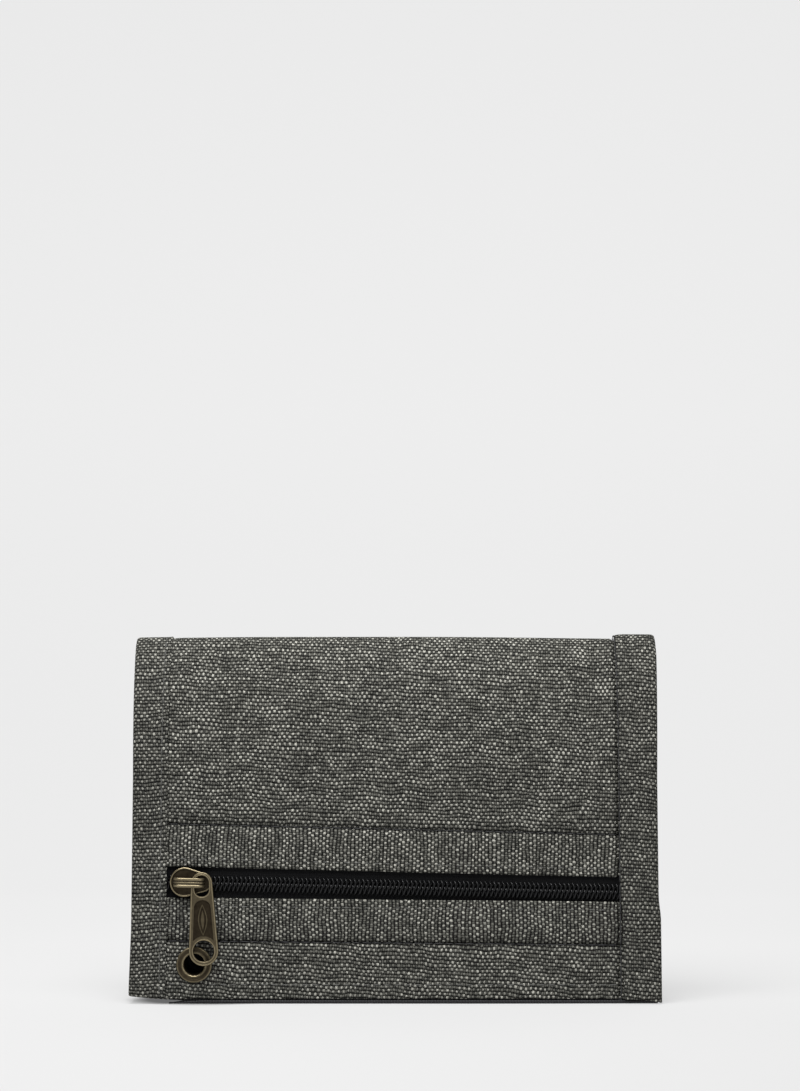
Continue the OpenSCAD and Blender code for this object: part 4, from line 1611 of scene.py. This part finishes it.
# %% Puller
EYE_X = -47.1
PULL_TOP, PULL_END, PULL_REACH, PULL_HOLE = 2.6, 3.6, 16.4, 2.5
SLOT_R, SLOT_LEN = 1.7, 1.6
PULL_TILT = math.radians(2.3)
PULL_T, PULL_OUT = 1.0, 0.55


def slot_loop(grow, steps=14):
    """The long eye at the puller's top."""
    r = SLOT_R + grow
    half_turn = [math.pi * i / steps for i in range(steps + 1)]
    left = [(r * math.cos(a + math.pi / 2), r * math.sin(a + math.pi / 2)) for a in half_turn]
    right = [(SLOT_LEN + r * math.cos(a - math.pi / 2), r * math.sin(a - math.pi / 2)) for a in half_turn]
    return left + right


def recess_loop(shrink):
    """The sunken middle: its sides follow the rim, its top is arched, its foot follows the hole."""
    ring_hole, rim = PULL_HOLE + 1.0 + shrink, 0.95 + shrink

    def side(px):
        return PULL_TOP + (PULL_END - PULL_TOP) * px / PULL_REACH - rim

    arch_at, arch_rise = 6.0, 1.85 - shrink
    lower = side(PULL_REACH - ring_hole * 0.6)
    a_hole = math.asin(min(0.97, lower / ring_hole))
    first = [(arch_at - arch_rise * math.cos(a), side(arch_at) * math.sin(a))
             for a in np.linspace(-math.pi / 2, math.pi / 2, 15)]
    second = [(PULL_REACH - ring_hole * math.cos(a), ring_hole * math.sin(a))
              for a in np.linspace(a_hole, -a_hole, 13)]
    top_side = [(px, side(px)) for px in np.linspace(first[-1][0], second[0][0], 9)[1:-1]]
    low_side = [(px, -z) for px, z in reversed(top_side)]
    return first + top_side + second + low_side


def oval_loop(half_len, half_wide, steps=24):
    """A pointed oval in the middle of the tongue."""
    middle = (SLOT_LEN + SLOT_R + PULL_REACH - PULL_HOLE) / 2 + 0.35
    loop = []
    for i in range(steps):
        t = 2 * math.pi * i / steps
        wide = half_wide * (1 - abs(math.cos(t)) ** 1.7) * (1 if math.sin(t) >= 0 else -1)
        loop.append((middle + half_len * math.cos(t), wide))
    return loop


def puller_taper(grow):
    """The tongue's outline, grown or shrunk."""
    return taper_loop(PULL_TOP, PULL_END, PULL_REACH, grow, 36)


def hole_loop(grow):
    """The round hole at the puller's foot, grown or shrunk."""
    return circle_loop(PULL_REACH, 0, PULL_HOLE + grow, 36)


# Heights count from the puller's back. Each rim is bevelled, flat and bright on top, and steps down
# to a ledge. The recess lies deeper, and the ovals stand up from it.
LEDGE, RECESS_FLOOR, OVAL_FLOOR = 0.93, 0.7, 0.72
outer_stack = stacked(puller_taper, ((-0.15, 0), (0, 0.15), (0, 0.78), (-0.06, 0.92), (-0.16, PULL_T),
                                     (-0.32, PULL_T), (-0.42, LEDGE)))
rim_steps = ((0.12, 0), (0, 0.15), (0, 0.82), (0.08, 0.95), (0.17, PULL_T), (0.3, PULL_T), (0.4, LEDGE))
slot_stack = stacked(slot_loop, rim_steps)
hole_stack = stacked(hole_loop, rim_steps)
recess_stack = stacked(recess_loop, ((-0.02, LEDGE), (0.1, RECESS_FLOOR)))
oval_stack = [(oval_loop(3.95, 1.28), RECESS_FLOOR), (oval_loop(3.8, 1.16), 0.86),
              (oval_loop(3.45, 0.9), 0.86), (oval_loop(3.3, 0.78), OVAL_FLOOR)]
inner_oval = [(oval_loop(2.5, 0.5), OVAL_FLOOR), (oval_loop(2.35, 0.4), 0.84)]
puller = loop_plate(
    "puller_tongue",
    [outer_stack, slot_stack, hole_stack, recess_stack, oval_stack, inner_oval],
    [
        [(0, 0), (1, 0), (2, 0)],
        [(0, 6), (1, 6), (2, 6), (3, 0)],
        [(3, 1), (4, 0)],
        [(4, 3), (5, 0)],
        [(5, 1)],
    ],
    old_brass,
    zip_place(-PULL_OUT, EYE_X, -math.pi / 2 + PULL_TILT),
)


def tongue_wear(co):
    """Bright on the rims, half worn on the ledge and the ovals, dark elsewhere."""
    height = Y_MID - (HALF_T + PULL_OUT) - co.y
    if height > 0.96:
        return 1.0
    return 0.3 if 0.83 < height < 0.87 or 0.9 < height < 0.945 else 0.03


mark_wear(puller, tongue_wear)
finish_piece(puller, "zip_puller", 40)
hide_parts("puller")
print("puller:", len(puller.data.polygons), "faces")

# %% [markdown]
# ## The eyelet
# An eyelet is a thin tube whose front lip is rolled over the cloth. At the back its end is spread
# over a flat washer. Both are turned shapes, so each is an outline spun round the eyelet's axis.

# %% Eyelet and washer


def turned(name, outline, steps=64):
    """Spins a closed outline of (radius, depth, wear) round the eyelet's axis."""
    points, faces = [], []
    n = len(outline)
    for i in range(steps):
        a = 2 * math.pi * i / steps
        for r, depth, _ in outline:
            x, z = EYELET_X + r * math.cos(a), EYELET_Z + r * math.sin(a)
            points.append((x, Y_MID - (HALF_T - depth), z))
    for i in range(steps):
        for k in range(n):
            a, b = i * n + k, i * n + (k + 1) % n
            c, d = (a + n) % len(points), (b + n) % len(points)
            faces.append((a, b, d, c))
    made = mesh_object(name, points, faces, old_brass)
    store_wear(made, [worn for _, _, worn in outline] * steps)
    return finish_piece(made, "front_half", 60)


rim_r = EYELET_R + EYELET_RIM
bore = [(EYELET_R, 9.8, 0.1), (EYELET_R, 1.2, 0.1)]
lip = [(EYELET_R + out_by, depth, worn) for out_by, depth, worn in (
    (0.02, 0.6, 0.5), (0.12, 0.33, 1), (0.32, 0.2, 0.8), (0.5, 0.2, 0.25), (0.75, 0.28, 0.08),
    (0.95, 0.2, 0.08), (1.2, 0.12, 0.12), (1.42, 0.12, 0.2))]
rolled_edge = [(rim_r - 0.18, 0.2, 0.85), (rim_r - 0.05, 0.35, 0.6), (rim_r, 0.55, 0.4),
               (rim_r - 0.05, 0.76, 0.1), (rim_r - 0.3, 0.8, 0.1)]
barrel = [(EYELET_R + 0.32, 0.8, 0.1), (EYELET_R + 0.3, 9.55, 0.1)]
spread_end = [(EYELET_R + 0.85, 9.6, 0.5), (EYELET_R + 0.88, 9.75, 0.8), (EYELET_R + 0.7, 9.84, 0.8)]
eyelet_piece = turned("eyelet_rolled", bore + lip + rolled_edge + barrel + spread_end)
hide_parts("eyelet")
washer_out = rim_r - 0.12
washer_outline = [(EYELET_R + 0.36, 9.2, 0.2), (washer_out, 9.2, 0.2), (washer_out, 9.5, 0.7),
                  (washer_out - 0.15, 9.62, 1), (EYELET_R + 1.2, 9.64, 0.5), (EYELET_R + 0.36, 9.56, 0.3)]
washer = turned("eyelet_back_washer", washer_outline)
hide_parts("eyelet_washer")
print("eyelet turned")

# %% [markdown]
# ## Stitches
# Seams are sewn with short thread stitches that sink into the cloth at both ends. A stitch is a
# grain-shaped tube. Rows are laid out along the same tracks as the cloth, so they follow every
# swell, and the copies tree turns each grain along its row.

# %% Stitch rows
STITCH_PITCH, STITCH_LEN = 2.5, 1.9
grain_path = [(t * STITCH_LEN / 2, 0, 0.16 * math.cos(t * math.pi / 2) - 0.1)
              for t in np.linspace(-1, 1, 6)]
grain_shape = tube_shape("stitch_grain", grain_path, [0.05, 0.15, 0.17, 0.17, 0.15, 0.05], 5)


def read_line(line, table, places):
    """Points, or directions, of a line at places along it."""
    return np.stack([np.interp(places, table, line[:, i]) for i in range(3)], axis=1)


def row_on(half, track, x, s, swell=outer_swell, lift=0.0, keep=None):
    """Points, directions and outward ways of a stitch row along matching x and s values."""
    x, s = np.broadcast_arrays(np.asarray(x, float), np.asarray(s, float))
    face = skin_grid(half, track, x, s, swell, lift)
    above = skin_grid(half, track, x, s, swell, lift + 1.0)
    steps = np.linalg.norm(np.diff(face, axis=0), axis=1)
    table = np.concatenate([[0], np.cumsum(steps)])
    places = np.arange(STITCH_PITCH / 2, table[-1], STITCH_PITCH)
    points = read_line(face, table, places)
    ahead = read_line(face, table, places + 0.3) - read_line(face, table, places - 0.3)
    facing = read_line(above - face, table, places)
    if keep is not None:
        kept = keep(points)
        points, ahead, facing = points[kept], ahead[kept], facing[kept]
    return points, ahead, facing


def sew(name, rows, body, material, size=(1, 1, 1), seed=3):
    """Stitches on one or more rows, as one piece."""
    points, ahead, facing = [np.concatenate([row[i] for row in rows]) for i in range(3)]
    return lay_copies(name, grain_shape, points, ahead, facing, material, body, size,
                      spread=0.08, lean=0.05, seed=seed)


def upright_row(half, x, low, lift=0.0):
    """A row up the outside of a half, from the height low to the crest."""
    s = np.arange(skin_track.along_at_height(low), skin_track.length, 0.5)
    return row_on(half, skin_track, x + 0 * s, s, lift=lift)


hem_rows_x = (LEFT_IN - 0.9, RIGHT_IN + 1.4)
LONG_STITCH = (1.3, 1.0, 1.0)
for half, label in ((REAR, "rear"), (FRONT, "front")):
    left_row = upright_row(half, hem_rows_x[0], 2.0)
    sew(label + "_hem_stitches", [left_row], fold_blend(half), thread, seed=3)
    # A row of black stitches sunk just left of the right hem's inner edge: painted shade that darkens the
    # groove there. It is no seam of its own.
    groove_shade_row = upright_row(half, RIGHT_IN - 0.2, 1.6, -0.25)
    sew(label + "_side_seam", [groove_shade_row], fold_blend(half), black_thread_and_groove_shade, LONG_STITCH, 11)
    hem_inside = inner_track(REAR_IN if half == REAR else FRONT_IN)
    s = np.arange(2.0, hem_inside.length, 0.5)
    inside_rows = []
    for x in hem_rows_x:
        points, ahead, facing = row_on(half, hem_inside, x + 0 * s, s, flat, -0.02)
        inside_rows.append((points, ahead, -facing))
    sew(label + "_inner_hem_stitches", inside_rows, fold_blend(half), thread, seed=4)

across = np.arange(LEFT_IN + 0.8, RIGHT_IN - 0.5, 0.5)
mouth_rows = [
    row_on(FRONT, front_track, across, mouth_top(across) + 2.0, band_swell(band_top, mouth_top)),
    row_on(FRONT, front_track, across, mouth_low(across) - 2.0, band_swell(band_low, mouth_low)),
]
sew("mouth_stitches", mouth_rows, "front_half", thread, (0.95, 0.8, 0.8), 5)
# The bands are sewn on at these seams. The rows are drawn in black thread sunk at the bottom of each
# groove, where they paint the groove's shade.
seam_shade_rows = [
    row_on(FRONT, front_track, across, band_top(across) + 0.05, outer_swell, -0.5),
    row_on(FRONT, front_track, across, band_low(across) - 0.15, outer_swell, -0.45),
]
sew("band_seams", seam_shade_rows, "front_half", black_thread_and_groove_shade, (1.3, 0.8, 0.8), 12)


def off_eyelet(points):
    """Which points lie clear of the eyelet's rim."""
    return np.hypot(points[:, 0] - EYELET_X, points[:, 2] - EYELET_Z) > EYELET_R + EYELET_RIM + 1.0


turn_row = row_on(FRONT, low_track, across, 4.6 + 0 * across, outer_swell, 0.0, off_eyelet)
sew("front_bottom_stitches", [turn_row], "front_half", thread, (0.95, 0.8, 0.7), 6)
rear_row = row_on(REAR, layer_track(SKIN), across, 4.8 + 0 * across)
sew("rear_bottom_stitches", [rear_row], "rear_half", thread, (0.95, 0.8, 0.8), 7)
print("outer rows sewn")

# %% Rows inside


def frame_path(x0, x1, z0, z1, step=0.5):
    """Points round a rectangle."""
    top = [(x, z1) for x in np.arange(x0, x1, step)]
    right = [(x1, z) for z in np.arange(z1, z0, -step)]
    low = [(x, z0) for x in np.arange(x1, x0, -step)]
    left = [(x0, z) for z in np.arange(z0, z1, step)]
    return np.array(top + right + low + left)


def inside_row(half, depth, path):
    """A row on the inner face of a layer: it faces the middle of the wallet."""
    y = Y_MID + half * (HALF_T - depth)
    face = np.stack([path[:, 0], y + 0 * path[:, 0], path[:, 1]], axis=1)
    table = np.concatenate([[0], np.cumsum(np.linalg.norm(np.diff(face, axis=0), axis=1))])
    places = np.arange(STITCH_PITCH / 2, table[-1], STITCH_PITCH)
    points = read_line(face, table, places)
    ahead = read_line(face, table, places + 0.3) - points
    return points, ahead, np.tile((0.0, -half * 1.0, 0.0), (len(points), 1))


strip_box = [[c / MM for c in corner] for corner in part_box("hook_strip")]
STRIP = (strip_box[0][0], strip_box[1][0], strip_box[0][2], strip_box[1][2])
HOOK_BASE, LOOP_BASE = 0.7, 0.6
ROW_OUT = 0.24
ribbon_run = np.array([(x, 0.0) for x in across])
rear_rows = [inside_row(REAR, depth + LINING_T + ROW_OUT, ribbon_run + (0, mouth - RIBBON_H + 1.0))
             for depth, mouth in zip(POCKET_DEPTHS, mouth_heights)]
strip_edge = frame_path(STRIP[0] + 1.3, STRIP[1] - 1.3, STRIP[2] + 1.3, STRIP[3] - 1.3)
rear_rows.append(inside_row(REAR, POCKET_DEPTHS[2] + LINING_T + HOOK_BASE, strip_edge))
sew("rear_inside_stitches", rear_rows, "rear_half", black_thread_and_groove_shade, (0.9, 0.9, 0.9), 8)
trim_out = 0.85
window_edge = frame_path(opening[0] - trim_out, opening[1] + trim_out,
                         opening[2] - trim_out, opening[3] + trim_out)
front_rows = [
    inside_row(FRONT, ID_CLOTH + ID_T + ROW_OUT, ribbon_run + (0, id_mouth - RIBBON_H + 1.0)),
    inside_row(FRONT, ID_CLOTH + ID_T + ROW_OUT, window_edge),
    inside_row(FRONT, ID_CLOTH + ID_T + LOOP_BASE, strip_edge),
]
sew("front_inside_stitches", front_rows, "front_half", black_thread_and_groove_shade, (0.9, 0.9, 0.9), 9)
print("inner rows sewn")

# %% [markdown]
# ## The touch fastener
# One strip is a bed of tiny nylon hooks and the other a mat of fine loops. Both sit on a woven
# base that is sewn round its edge. Real strips carry thousands of hooks, so here each hook stands
# for a few.

# %% Hooks and loops


def strip_base(name, half, depth, thickness):
    """The woven base of a fastener strip, on the inner face of a layer."""
    y_face = HALF_T - depth - thickness
    track = Track([(y_face, z) for z in np.linspace(STRIP[2], STRIP[3], 20)])
    x_grid, s_grid = np.meshgrid(spaced(STRIP[0], STRIP[1], 2.0), spaced(0, track.length, 1.0))
    grid, uv = skin_grid(half, track, x_grid, s_grid, flat), grain_uv(x_grid, s_grid)
    if half == FRONT:
        grid, uv = grid[:, ::-1], uv[:, ::-1]
    body = "rear_half" if half == REAR else "front_half"
    return slab(name, grid, thickness, uv, binding_cloth, body)


def bed_points(half, depth, step, seed, jitter):
    """Places of hooks or loops over a strip, with a little disorder."""
    rng = np.random.default_rng(seed)
    xs = np.arange(STRIP[0] + 2.2, STRIP[1] - 2.0, step)
    zs = np.arange(STRIP[2] + 2.2, STRIP[3] - 2.0, step)
    x, z = [a.ravel() for a in np.meshgrid(xs, zs)]
    x = x + rng.uniform(-jitter, jitter, len(x))
    z = z + rng.uniform(-jitter, jitter, len(z))
    y = Y_MID + half * (HALF_T - depth) + 0 * x
    swing = math.pi if jitter > 0.1 else 0.15
    turn = rng.uniform(-swing, swing, len(x))
    along = np.stack([np.cos(turn), 0 * x, np.sin(turn)], axis=1)
    return np.stack([x, y, z], axis=1), along, np.tile((0.0, -half * 1.0, 0.0), (len(x), 1))


strip_base("hook_base", REAR, POCKET_DEPTHS[2] + LINING_T, HOOK_BASE)
hook_path = [(0.1, 0, -0.1), (0.08, 0, 0.3), (0.0, 0, 0.55), (-0.16, 0, 0.66), (-0.3, 0, 0.56),
             (-0.32, 0, 0.42)]
hook_shape = tube_shape("one_hook", hook_path, [0.1, 0.09, 0.085, 0.08, 0.07, 0.05], 4)
points, along, facing = bed_points(REAR, POCKET_DEPTHS[2] + LINING_T + HOOK_BASE, 0.95, 11, 0.04)
hooks = lay_copies("hooks", hook_shape, points, along, facing, fastener, "rear_half",
                   spread=0.06, lean=0.1, seed=12)
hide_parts("hook_strip")
strip_base("loop_base", FRONT, ID_CLOTH + ID_T, LOOP_BASE)
arch = [(0.42 * math.cos(a), 0.05 * math.sin(3 * a), 0.05 + 0.5 * math.sin(a))
        for a in np.radians(np.linspace(-10, 190, 7))]
loop_shape = tube_shape("one_loop", arch, [0.05] * 7, 3)
points, along, facing = bed_points(FRONT, ID_CLOTH + ID_T + LOOP_BASE, 0.62, 13, 0.3)
loops = lay_copies("loops", loop_shape, points, along, facing, fastener, "front_half",
                   spread=0.3, lean=0.5, seed=14)
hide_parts("loop_strip")
print("hooks and loops:", len(hooks.data.polygons), len(loops.data.polygons), "faces")

# %% Bounds of the model and of the drawn pieces
visual_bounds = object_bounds()
boxes = {"cad": cad_bounds, "visual": visual_bounds}
{name: [list(corner) for corner in box] for name, box in boxes.items()}
